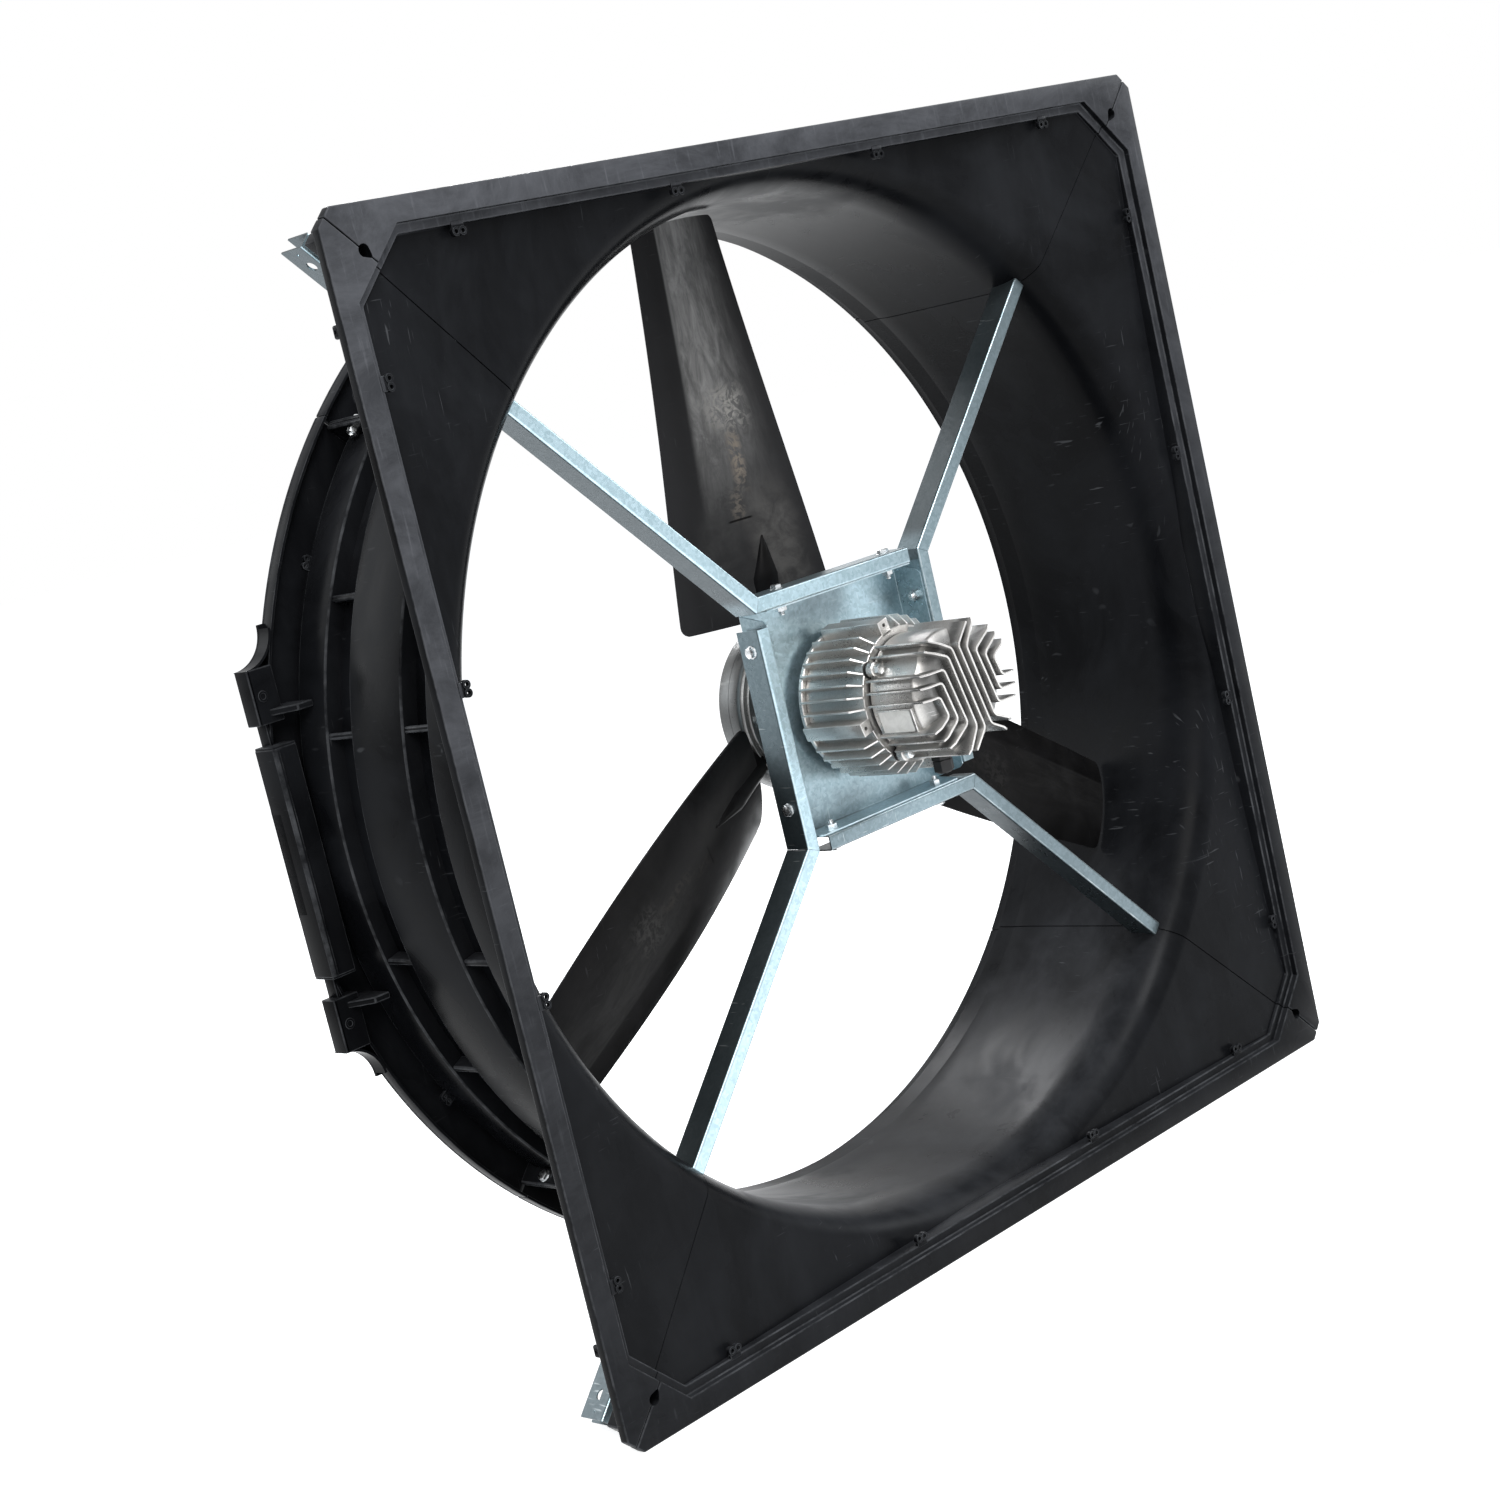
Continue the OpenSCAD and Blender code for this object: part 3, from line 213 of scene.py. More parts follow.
def addMath(tree, operation, first, second=0.0, clamp=False):
    node = tree.nodes.new("ShaderNodeMath")
    node.operation = operation
    node.use_clamp = clamp
    feed(tree, node.inputs[0], first)
    feed(tree, node.inputs[1], second)
    return node.outputs[0]


def times(tree, first, second, clamp=False):
    return addMath(tree, "MULTIPLY", first, second, clamp)


def plus(tree, first, second, clamp=False):
    return addMath(tree, "ADD", first, second, clamp)


def minus(tree, first, second):
    return addMath(tree, "SUBTRACT", first, second)


def larger(tree, first, second):
    return addMath(tree, "MAXIMUM", first, second)


def unsigned(tree, value):
    return addMath(tree, "ABSOLUTE", value)


def addSplit(tree, vector):
    node = tree.nodes.new("ShaderNodeSeparateXYZ")
    tree.links.new(vector, node.inputs[0])
    return node.outputs


def addRange(tree, value, low, high, newLow=0.0, newHigh=1.0):
    node = tree.nodes.new("ShaderNodeMapRange")
    node.interpolation_type = "SMOOTHSTEP"
    feed(tree, node.inputs["Value"], value)
    feed(tree, node.inputs["From Min"], low)
    feed(tree, node.inputs["From Max"], high)
    feed(tree, node.inputs["To Min"], newLow)
    feed(tree, node.inputs["To Max"], newHigh)
    return node.outputs["Result"]


def addNoise(tree, vector, scale, detail=2.0, roughness=0.5, distortion=0.0):
    node = tree.nodes.new("ShaderNodeTexNoise")
    feed(tree, node.inputs["Vector"], vector)
    feed(tree, node.inputs["Scale"], scale)
    node.inputs["Detail"].default_value = detail
    node.inputs["Roughness"].default_value = roughness
    node.inputs["Distortion"].default_value = distortion
    return node.outputs["Fac"]


def addStretch(tree, vector, scale, turn=(0.0, 0.0, 0.0)):
    node = tree.nodes.new("ShaderNodeMapping")
    feed(tree, node.inputs["Vector"], vector)
    node.inputs["Rotation"].default_value = turn
    node.inputs["Scale"].default_value = scale
    return node.outputs["Vector"]


def addMix(tree, amount, first, second):
    node = tree.nodes.new("ShaderNodeMix")
    node.data_type = "RGBA"
    feed(tree, node.inputs[0], amount)
    feed(tree, node.inputs[6], first)
    feed(tree, node.inputs[7], second)
    return node.outputs[2]


def makeMouldGrain():
    # fine skin of a moulding or casting: height, and slow light and dark patches
    tree, given, out = newGroup("mouldGrain", [
        ("Vector", "Vector", None), ("Grain Scale", "Float", 900.0), ("Patch Scale", "Float", 7.0)],
        [("Height", "Float"), ("Patches", "Float")])
    vector = given.outputs["Vector"]
    fine = addNoise(tree, vector, given.outputs["Grain Scale"], 2.0, 0.6)
    middle = addNoise(tree, vector, times(tree, given.outputs["Patch Scale"], 9.0), 3.0, 0.55)
    slow = addNoise(tree, vector, given.outputs["Patch Scale"], 4.0, 0.62, 0.6)
    tree.links.new(plus(tree, times(tree, fine, 0.35), times(tree, middle, 0.65)), out.inputs["Height"])
    tree.links.new(addRange(tree, slow, 0.36, 0.68), out.inputs["Patches"])
    return tree


def makeWornEdgeAndHighlight():
    # the bevelled edges carry the wear attribute, which marks real rub and also a painted edge highlight; the rub
    # and the highlight break up along them
    tree, given, out = newGroup("wornEdgeAndHighlight", [
        ("Vector", "Vector", None), ("Edge", "Float", 0.0), ("Rub", "Float", 0.5)],
        [("Mask", "Float")])
    vector = given.outputs["Vector"]
    broken = addRange(tree, addNoise(tree, vector, 24.0, 5.0, 0.7), 0.3, 0.72)
    rubAndHighlightMask = times(tree, times(tree, given.outputs["Edge"], broken), given.outputs["Rub"], True)
    tree.links.new(rubAndHighlightMask, out.inputs["Mask"])
    return tree


def makeScuffs():
    # short fine scratches in two directions, in loose patches
    tree, given, out = newGroup("scuffs", [
        ("Vector", "Vector", None), ("Amount", "Float", 0.5)], [("Mask", "Float")])
    vector = given.outputs["Vector"]
    one = addNoise(tree, addStretch(tree, vector, (420.0, 30.0, 34.0), (0.2, 0.9, 0.4)), 1.0, 1.0)
    two = addNoise(tree, addStretch(tree, vector, (26.0, 30.0, 380.0), (0.1, -0.5, 0.2)), 1.0, 1.0)
    lines = larger(tree, addRange(tree, one, 0.69, 0.76), addRange(tree, two, 0.7, 0.77))
    where = addRange(tree, addNoise(tree, vector, 5.5, 3.0, 0.6), 0.5, 0.7)
    nicks = tree.nodes.new("ShaderNodeTexVoronoi")
    nicks.inputs["Scale"].default_value = 1.0
    tree.links.new(addStretch(tree, vector, (8.5, 7.0, 5.0), (0.3, 0.2, 0.1)), nicks.inputs["Vector"])
    dots = addRange(tree, nicks.outputs["Distance"], 0.014, 0.024, 1.0, 0.0)
    lines = plus(tree, times(tree, lines, where), dots)
    tree.links.new(times(tree, lines, given.outputs["Amount"], True), out.inputs["Mask"])
    return tree


def makeDustAndSheenFilm():
    # dust settles on faces that look up and towards the front, unevenly; on the housing the same mask also paints
    # a sheen on the duct's lower inside
    tree, given, out = newGroup("dustAndSheenFilm", [
        ("Vector", "Vector", None), ("Normal", "Vector", None), ("Front", "Float", 0.4), ("Up", "Float", 0.6)],
        [("Mask", "Float")])
    normal = addSplit(tree, given.outputs["Normal"])
    up = times(tree, addRange(tree, normal["Z"], 0.25, 0.95), given.outputs["Up"])
    ahead = times(tree, addRange(tree, times(tree, normal["Y"], -1.0), 0.6, 1.0), given.outputs["Front"])
    streaks = addNoise(tree, addStretch(tree, given.outputs["Vector"], (16.0, 16.0, 5.0)), 1.0, 6.0, 0.68, 0.4)
    broken = addRange(tree, streaks, 0.30, 0.78, 0.35, 1.0)
    tree.links.new(times(tree, plus(tree, up, ahead), broken, True), out.inputs["Mask"])
    return tree


def makeZincSpangle():
    # crystals of hot-dip zinc: each cell has its own shade and sheen
    tree, given, out = newGroup("zincSpangle", [
        ("Vector", "Vector", None), ("Crystal Scale", "Float", 110.0)],
        [("Shade", "Float"), ("Sheen", "Float"), ("Height", "Float")])
    soft = tree.nodes.new("ShaderNodeTexNoise")
    soft.inputs["Scale"].default_value = 70.0
    tree.links.new(given.outputs["Vector"], soft.inputs["Vector"])
    bent = tree.nodes.new("ShaderNodeVectorMath")
    bent.operation = "MULTIPLY_ADD"
    tree.links.new(soft.outputs["Color"], bent.inputs[0])
    bent.inputs[1].default_value = (0.012, 0.012, 0.012)
    tree.links.new(given.outputs["Vector"], bent.inputs[2])
    cells = tree.nodes.new("ShaderNodeTexVoronoi")
    tree.links.new(bent.outputs[0], cells.inputs["Vector"])
    tree.links.new(given.outputs["Crystal Scale"], cells.inputs["Scale"])
    split = tree.nodes.new("ShaderNodeSeparateColor")
    tree.links.new(cells.outputs["Color"], split.inputs[0])
    cloud = addNoise(tree, given.outputs["Vector"], 9.0, 3.0, 0.6)
    tree.links.new(plus(tree, times(tree, split.outputs[0], 0.55), times(tree, cloud, 0.45)), out.inputs["Shade"])
    tree.links.new(split.outputs[1], out.inputs["Sheen"])
    tree.links.new(times(tree, cells.outputs["Distance"], 0.6), out.inputs["Height"])
    return tree


effects = {
    "grain": makeMouldGrain(),
    "edge": makeWornEdgeAndHighlight(),
    "scuffs": makeScuffs(),
    "dustAndSheen": makeDustAndSheenFilm(),
    "spangle": makeZincSpangle(),
}


def place(tree, effect, **values):
    node = tree.nodes.new("ShaderNodeGroup")
    node.node_tree = effects[effect]
    for label, value in values.items():
        feed(tree, node.inputs[label.replace("_", " ")], value)
    return node.outputs


def startFinish(name, roughness, metallic):
    material = bpy.data.materials.new(name)
    material.use_nodes = True
    tree = material.node_tree
    shader = tree.nodes["Principled BSDF"]
    shader.inputs["Roughness"].default_value = roughness
    shader.inputs["Metallic"].default_value = metallic
    where = tree.nodes.new("ShaderNodeTexCoord").outputs["Object"]
    facing = tree.nodes.new("ShaderNodeNewGeometry").outputs["Normal"]
    wearAndHighlight = tree.nodes.new("ShaderNodeAttribute")
    wearAndHighlight.attribute_name = "wearAndHighlight"
    return material, tree, shader, where, facing, wearAndHighlight.outputs["Fac"]


def addBump(tree, shader, height, strength, distance):
    bump = tree.nodes.new("ShaderNodeBump")
    bump.inputs["Strength"].default_value = strength
    bump.inputs["Distance"].default_value = distance
    tree.links.new(height, bump.inputs["Height"])
    tree.links.new(bump.outputs["Normal"], shader.inputs["Normal"])


plastics = {
    # colour, paler patches, rubbed edge with its painted highlight, dust with its painted sheen, roughness, dust
    # up and front, scuffs, grain size
    # the housing's upward dust is partly a painted sheen on the lower inside of the duct
    "housingPlastic": dict(
        base=(0.0026, 0.0028, 0.0034, 1), pale=(0.0070, 0.0076, 0.0090, 1), rubAndHighlight=(0.085, 0.089, 0.096, 1),
        dustAndSheen=(0.090, 0.094, 0.104, 1), rough=0.30, up=0.24, front=0.07, scuff=0.5, edge=0.7,
        grain=700.0, patch=5.0, specular=0.035, bump=0.14),
    "bladePlastic": dict(
        base=(0.0026, 0.0026, 0.0029, 1), pale=(0.0066, 0.0066, 0.0072, 1), rubAndHighlight=(0.060, 0.060, 0.064, 1),
        dustAndSheen=(0.080, 0.074, 0.068, 1), rough=0.35, up=0.12, front=0.05, scuff=0.6, edge=0.6,
        grain=520.0, patch=9.0, specular=0.04, bump=0.2),
    "glandPlastic": dict(
        base=(0.011, 0.011, 0.012, 1), pale=(0.02, 0.02, 0.021, 1), rubAndHighlight=(0.06, 0.06, 0.06, 1),
        dustAndSheen=(0.14, 0.14, 0.14, 1), rough=0.45, up=0.2, front=0.1, scuff=0.2, edge=0.5,
        grain=1400.0, patch=30.0, specular=0.3, bump=0.12),
    "blackRubber": dict(
        base=(0.012, 0.012, 0.012, 1), pale=(0.02, 0.02, 0.02, 1), rubAndHighlight=(0.05, 0.05, 0.05, 1),
        dustAndSheen=(0.12, 0.12, 0.12, 1), rough=0.7, up=0.25, front=0.15, scuff=0.1, edge=0.3,
        grain=1600.0, patch=40.0, specular=0.15, bump=0.2),
    "plateFoil": dict(
        base=(0.62, 0.62, 0.60, 1), pale=(0.74, 0.74, 0.72, 1), rubAndHighlight=(0.4, 0.4, 0.4, 1),
        dustAndSheen=(0.4, 0.38, 0.35, 1), rough=0.36, up=0.1, front=0.12, scuff=0.4, edge=0.4,
        grain=1800.0, patch=60.0, specular=0.4, bump=0.05),
    "boardGreen": dict(
        base=(0.012, 0.09, 0.035, 1), pale=(0.02, 0.13, 0.05, 1), rubAndHighlight=(0.3, 0.25, 0.1, 1),
        dustAndSheen=(0.2, 0.2, 0.18, 1), rough=0.35, up=0.1, front=0.1, scuff=0.1, edge=0.3,
        grain=900.0, patch=90.0, specular=0.4, bump=0.1),
    "capacitorSleeve": dict(
        base=(0.02, 0.03, 0.07, 1), pale=(0.03, 0.045, 0.1, 1), rubAndHighlight=(0.3, 0.3, 0.32, 1),
        dustAndSheen=(0.2, 0.2, 0.2, 1), rough=0.3, up=0.1, front=0.1, scuff=0.1, edge=0.3,
        grain=900.0, patch=50.0, specular=0.5, bump=0.05),
}


def addFade(tree, value, centre, half, soft):
    # 1 near the centre value, falling to 0 over the soft width
    away = unsigned(tree, minus(tree, value, centre))
    return addRange(tree, away, half, half + soft, 1.0, 0.0)


bladePatches = [
    # middle and width across, middle and length along, tint, share, and what breaks it up
    ((0.57, 0.24), (0.50, 0.080), (0.25, 0.243, 0.23, 1), 1.0, "wrinkles"),
    ((0.57, 0.08), (0.37, 0.10), (0.20, 0.17, 0.14, 1), 0.75, "wrinkles"),
    ((0.50, 0.07), (0.26, 0.05), (0.15, 0.13, 0.11, 1), 0.6, "wrinkles"),
    ((0.72, 0.26), (0.15, 0.20), (0.10, 0.097, 0.094, 1), 0.65, "veil"),
    ((0.34, 0.22), (0.15, 0.16), (0.05, 0.05, 0.05, 1), 0.6, "veil"),
    ((0.40, 0.18), (0.37, 0.14), (0.07, 0.07, 0.07, 1), 0.6, "wrinkles"),
]


def addBladeMarks(tree, colour):
    # the blades carry their own places across and along, and how much soil and painted sheen they carry
    across, along, soilAndSheen = (tree.nodes.new("ShaderNodeAttribute") for _ in range(3))
    for node, label in ((across, "across"), (along, "along"), (soilAndSheen, "soilAndSheen")):
        node.attribute_name = label
    across, along, soilAndSheen = across.outputs["Fac"], along.outputs["Fac"], soilAndSheen.outputs["Fac"]
    spot = tree.nodes.new("ShaderNodeCombineXYZ")
    feed(tree, spot.inputs[0], times(tree, across, 0.17))
    feed(tree, spot.inputs[1], times(tree, along, 0.478))
    feed(tree, spot.inputs[2], times(tree, soilAndSheen, 0.3))
    where = spot.outputs[0]
    # the more soil and sheen a blade carries, the greyer it is all over, with a lighter band along the outer half
    # that is partly dust and partly a painted sheen
    grey = times(tree, soilAndSheen, addRange(tree, across, 0.0, 0.2, 0.75, 0.45))
    colour = addMix(tree, grey, colour, (0.034, 0.034, 0.036, 1))
    band = times(tree, addRange(tree, across, 0.235, 0.30), addRange(tree, across, 0.42, 0.98, 1.0, 0.0))
    band = times(tree, times(tree, band, soilAndSheen), addRange(tree, along, 0.15, 0.62))
    cloud = addNoise(tree, addStretch(tree, where, (60.0, 16.0, 20.0)), 1.0, 7.0, 0.72, 0.6)
    cloud = addRange(tree, cloud, 0.3, 0.75)
    band = times(tree, band, plus(tree, times(tree, cloud, 0.65), 0.35))
    colour = addMix(tree, band, colour, (0.27, 0.268, 0.266, 1))
    # a wrinkled patch and the smear under it
    wrinkles = addRange(tree, addNoise(tree, where, 62.0, 4.0, 0.6, 2.2), 0.42, 0.60)
    # the larger patches are dust, too soft to show the wrinkles
    veil = addRange(tree, addNoise(tree, where, 38.0, 6.0, 0.65, 0.4), 0.30, 0.68, 0.25, 1.0)
    for (middle, wide), (far, tall), tint, share, cover in bladePatches:
        patch = times(tree, addFade(tree, across, middle, wide * 0.25, wide * 0.75),
                      addFade(tree, along, far, tall * 0.25, tall * 0.75))
        patch = times(tree, patch, wrinkles if cover == "wrinkles" else veil)
        colour = addMix(tree, times(tree, patch, times(tree, soilAndSheen, share)), colour, tint)
    # a painted highlight runs along the crease by the rear edge; a short parting line lies above the root
    line = times(tree, addFade(tree, across, 0.265, 0.002, 0.018), addRange(tree, along, 0.45, 0.9))
    colour = addMix(tree, times(tree, line, times(tree, soilAndSheen, 0.7)), colour, (0.19, 0.19, 0.19, 1))
    parting = times(tree, addFade(tree, along, 0.225, 0.0014, 0.002), addFade(tree, across, 0.5, 0.07, 0.03))
    return addMix(tree, times(tree, parting, 0.9), colour, (0.001, 0.001, 0.001, 1))


def addRimDust(tree, where, facing, colour):
    # the raised frame of the flange is dustier than the rest, most of all along the top
    (x, y, z), turned = addSplit(tree, where), addSplit(tree, facing)
    wide, high = unsigned(tree, x), unsigned(tree, z)
    raised = larger(tree, addRange(tree, larger(tree, wide, high), 0.6585, 0.6605),
                    addRange(tree, plus(tree, wide, high), 1.250, 1.254))
    ahead = times(tree, addRange(tree, y, 0.020, 0.012), addRange(tree, turned["Y"], -0.4, -0.85))
    raised = times(tree, raised, ahead)
    clouds = addNoise(tree, addStretch(tree, where, (7.0, 40.0, 12.0)), 1.0, 8.0, 0.75, 0.6)
    clouds = addRange(tree, clouds, 0.25, 0.75, 0.3, 1.0)
    rubs = addNoise(tree, addStretch(tree, where, (150.0, 40.0, 16.0), (0.0, 0.3, 0.0)), 1.0, 3.0, 0.6)
    rubs = addRange(tree, rubs, 0.55, 0.8)
    lift = minus(tree, z, times(tree, x, 0.35))
    lift = addRange(tree, lift, -0.80, 0.85, 0.0, 1.0)
    amount = times(tree, times(tree, raised, plus(tree, clouds, times(tree, rubs, 0.5))), lift, True)
    return addMix(tree, amount, colour, (0.082, 0.085, 0.094, 1))


def makePlastic(name, look):
    material, tree, shader, where, facing, wearAndHighlight = startFinish(name, look["rough"], 0.0)
    shader.inputs["Specular IOR Level"].default_value = look["specular"]
    grain = place(tree, "grain", Vector=where, Grain_Scale=look["grain"], Patch_Scale=look["patch"])
    edge = place(tree, "edge", Vector=where, Edge=wearAndHighlight, Rub=look["edge"])
    scuffs = place(tree, "scuffs", Vector=where, Amount=look["scuff"])
    dustAndSheen = place(tree, "dustAndSheen", Vector=where, Normal=facing, Front=look["front"], Up=look["up"])
    colour = addMix(tree, grain["Patches"], look["base"], look["pale"])
    colour = addMix(tree, larger(tree, edge["Mask"], scuffs["Mask"]), colour, look["rubAndHighlight"])
    colour = addMix(tree, dustAndSheen["Mask"], colour, look["dustAndSheen"])
    if name == "bladePlastic":
        colour = addBladeMarks(tree, colour)
    if name == "housingPlastic":
        colour = addRimDust(tree, where, facing, colour)
    tree.links.new(colour, shader.inputs["Base Color"])
    rough = addRange(tree, grain["Patches"], 0.0, 1.0, look["rough"] - 0.06, look["rough"] + 0.09)
    rough = plus(tree, rough, times(tree, dustAndSheen["Mask"], 0.3), True)
    tree.links.new(rough, shader.inputs["Roughness"])
    addBump(tree, shader, grain["Height"], look["bump"], 0.0006)
    return material


metals = {
    # dark and bright tints of the metal, edge tint that is also a painted highlight, roughness range, crystal
    # scale, and how strong the painted shade is
    # the sheet's near-white edge tint paints a highlight along the bends
    "galvanisedSheet": dict(
        skin=0.8, dark=(0.30, 0.43, 0.48, 1), bright=(0.54, 0.70, 0.78, 1), rubAndHighlight=(0.90, 0.95, 0.97, 1),
        rough=(0.27, 0.36), crystal=260.0, grain=500.0, bump=0.015, edge=0.4, dustAndSheen=0.05, shade=0.92),
    "zincFasteners": dict(
        skin=1.0, dark=(0.55, 0.58, 0.60, 1), bright=(0.78, 0.80, 0.81, 1), rubAndHighlight=(0.95, 0.96, 0.97, 1),
        rough=(0.2, 0.34), crystal=500.0, grain=1500.0, bump=0.05, edge=0.7, dustAndSheen=0.05),
    "castAluminium": dict(
        skin=0.88, dark=(0.50, 0.49, 0.475, 1), bright=(0.70, 0.685, 0.665, 1), rubAndHighlight=(0.96, 0.95, 0.94, 1),
        rough=(0.26, 0.42), crystal=900.0, grain=1300.0, bump=0.2, edge=1.0, dustAndSheen=0.05, shade=0.9),
    "brightSteel": dict(
        skin=1.0, dark=(0.5, 0.5, 0.52, 1), bright=(0.72, 0.72, 0.74, 1), rubAndHighlight=(0.9, 0.9, 0.9, 1),
        rough=(0.16, 0.3), crystal=700.0, grain=1800.0, bump=0.04, edge=0.5, dustAndSheen=0.03),
    "coreSteel": dict(
        skin=1.0, dark=(0.16, 0.16, 0.17, 1), bright=(0.3, 0.3, 0.32, 1), rubAndHighlight=(0.5, 0.5, 0.5, 1),
        rough=(0.35, 0.5), crystal=600.0, grain=1500.0, bump=0.1, edge=0.5, dustAndSheen=0.03),
    "copperWindings": dict(
        skin=1.0, dark=(0.4, 0.15, 0.05, 1), bright=(0.66, 0.3, 0.12, 1), rubAndHighlight=(0.8, 0.5, 0.3, 1),
        rough=(0.25, 0.4), crystal=900.0, grain=1500.0, bump=0.2, edge=0.3, dustAndSheen=0.03),
}


def addSheetShade(tree, where, facing):
    # painted shade: the folded sides are darker than the webs that face the front, and the plate is clouded with
    # painted shade
    (x, y, z), turned = addSplit(tree, where), addSplit(tree, facing)
    side = addRange(tree, unsigned(tree, turned["Y"]), 0.25, 0.75, 1.0, 0.0)
    reach = larger(tree, unsigned(tree, x), unsigned(tree, z))
    # beside the plate, the legs' painted shade eases towards the top
    side = times(tree, side, addRange(tree, reach, 0.167, 0.185, addRange(tree, z, -0.14, 0.15, 1.0, 0.74), 1.0))
    # inside the plate's folds the painted shade is taken off, most of all on the lower fold that faces up, as
    # painted light
    inside = times(tree, addRange(tree, reach, 0.1458, 0.1442), addRange(tree, turned["Z"], -0.5, 0.9, 0.55, 1.0))
    side = times(tree, side, minus(tree, 1.0, inside))
    clouds = addNoise(tree, addStretch(tree, where, (9.0, 6.0, 15.0), (0.0, 0.5, 0.0)), 1.0, 5.0, 0.6, 0.3)
    clouds = addRange(tree, clouds, 0.34, 0.66, 0.0, 0.62)
    # the painted shade on the plate is deeper at its lower left and at the middle of its top
    corner = times(tree, addRange(tree, z, -0.06, -0.13), addRange(tree, x, 0.03, -0.05))
    top = times(tree, addRange(tree, z, 0.08, 0.12), addFade(tree, x, -0.01, 0.03, 0.05))
    clouds = plus(tree, times(tree, clouds, 0.6), times(tree, larger(tree, corner, top), 0.4))
    plate = times(tree, addRange(tree, y, 0.100, 0.106), clouds)
    # painted reflection: the right hand struts are darkened as if they mirrored a darker room
    aside = minus(tree, x, times(tree, z, 0.25))
    web = times(tree, addRange(tree, aside, -0.16, 0.30, 0.0, 0.8), minus(tree, 1.0, inside))
    # painted shade: the leg below the plate is darker, most of all at its left end
    leg = times(tree, addRange(tree, z, -0.1440, -0.1475), addRange(tree, z, -0.172, -0.165))
    leg = times(tree, leg, addRange(tree, x, -0.145, 0.10, 0.72, 0.5))
    leg = times(tree, leg, addRange(tree, unsigned(tree, x), 0.152, 0.140))
    web = times(tree, larger(tree, web, leg), addRange(tree, y, 0.100, 0.090))
    return larger(tree, larger(tree, side, web), plate)


def addCastHollowShade(tree, where):
    # painted shade in the hollows: 1 between the front ribs and less between the side fins, 0 at the tips; the
    # hub is darkened by a value in between
    x, y, z = addSplit(tree, where)
    flat = tree.nodes.new("ShaderNodeCombineXYZ")
    tree.links.new(x, flat.inputs[0])
    tree.links.new(z, flat.inputs[2])
    reach = tree.nodes.new("ShaderNodeVectorMath")
    reach.operation = "LENGTH"
    tree.links.new(flat.outputs[0], reach.inputs[0])
    nose = times(tree, addRange(tree, y, -0.084, -0.094), addRange(tree, y, -0.112, -0.099))
    nose = times(tree, nose, 0.75)
    barrel = times(tree, addRange(tree, reach.outputs["Value"], 0.098, 0.080),
                   addRange(tree, y, -0.084, -0.094, 0.2, 0.0))
    hub = addRange(tree, y, 0.150, 0.160)
    drum = addRange(tree, reach.outputs["Value"], 0.1068, 0.1090, 0.80, 0.96)
    deep = times(tree, plus(tree, nose, barrel), minus(tree, 1.0, hub))
    return plus(tree, deep, times(tree, hub, drum), True)


def makeMetal(name, look):
    material, tree, shader, where, facing, wearAndHighlight = startFinish(name, look["rough"][1], look["skin"])
    spangle = place(tree, "spangle", Vector=where, Crystal_Scale=look["crystal"])
    grain = place(tree, "grain", Vector=where, Grain_Scale=look["grain"], Patch_Scale=14.0)
    edge = place(tree, "edge", Vector=where, Edge=wearAndHighlight, Rub=look["edge"])
    scuffs = place(tree, "scuffs", Vector=where, Amount=0.35)
    dustAndSheen = place(tree, "dustAndSheen", Vector=where, Normal=facing, Front=look["dustAndSheen"], Up=look["dustAndSheen"] * 1.6)
    colour = addMix(tree, spangle["Shade"], look["dark"], look["bright"])
    # painted shade: the cast hollows, and the sheet's folds, plate and right hand struts, are mixed towards a
    # dark tint
    if "shade" in look:
        hollow = addCastHollowShade(tree, where)
        if name == "galvanisedSheet":
            hollow = addSheetShade(tree, where, facing)
        colour = addMix(tree, times(tree, hollow, look["shade"]), colour, (0.03, 0.036, 0.04, 1))
    colour = addMix(tree, larger(tree, edge["Mask"], scuffs["Mask"]), colour, look["rubAndHighlight"])
    colour = addMix(tree, dustAndSheen["Mask"], colour, (0.3, 0.29, 0.27, 1))
    tree.links.new(colour, shader.inputs["Base Color"])
    sheen = plus(tree, times(tree, spangle["Sheen"], 0.6), times(tree, grain["Patches"], 0.4))
    rough = addRange(tree, sheen, 0.0, 1.0, *look["rough"])
    rough = plus(tree, rough, times(tree, dustAndSheen["Mask"], 0.4), True)
    tree.links.new(rough, shader.inputs["Roughness"])
    height = plus(tree, grain["Height"], times(tree, spangle["Height"], 0.5))
    addBump(tree, shader, height, look["bump"], 0.0008)
    return material


finishes = {name: makePlastic(name, look) for name, look in plastics.items()}
finishes.update({name: makeMetal(name, look) for name, look in metals.items()})
slotFinish = {
    "housing_plastic": "housingPlastic", "blade_plastic": "bladePlastic", "galvanised_sheet": "galvanisedSheet",
    "zinc_fasteners": "zincFasteners", "cast_aluminium": "castAluminium", "bright_steel": "brightSteel",
    "core_steel": "coreSteel", "copper_windings": "copperWindings", "black_rubber": "blackRubber",
    "gland_plastic": "glandPlastic", "plate_foil": "plateFoil", "board": "boardGreen",
    "capacitor_sleeve": "capacitorSleeve",
}
slotOf = {entry["node"]: entry["material_slot"] for entry in frame["record"]["subparts"]}
for nodeName, node in cadNodes.items():
    node.data.materials.clear()
    node.data.materials.append(finishes[slotFinish[slotOf[nodeName]]])
print("finishes are made:", len(finishes))


# Shared modelling steps


def startPart():
    bm = bmesh.new()
    bm.faces.layers.float.new("wearAndHighlight")
    return bm


def faceOut(part):
    bmesh.ops.recalc_face_normals(part, faces=part.faces)


def hardEdges(bm, least=0.6):
    return [e for e in bm.edges if len(e.link_faces) == 2 and e.calc_face_angle(0.0) > least]


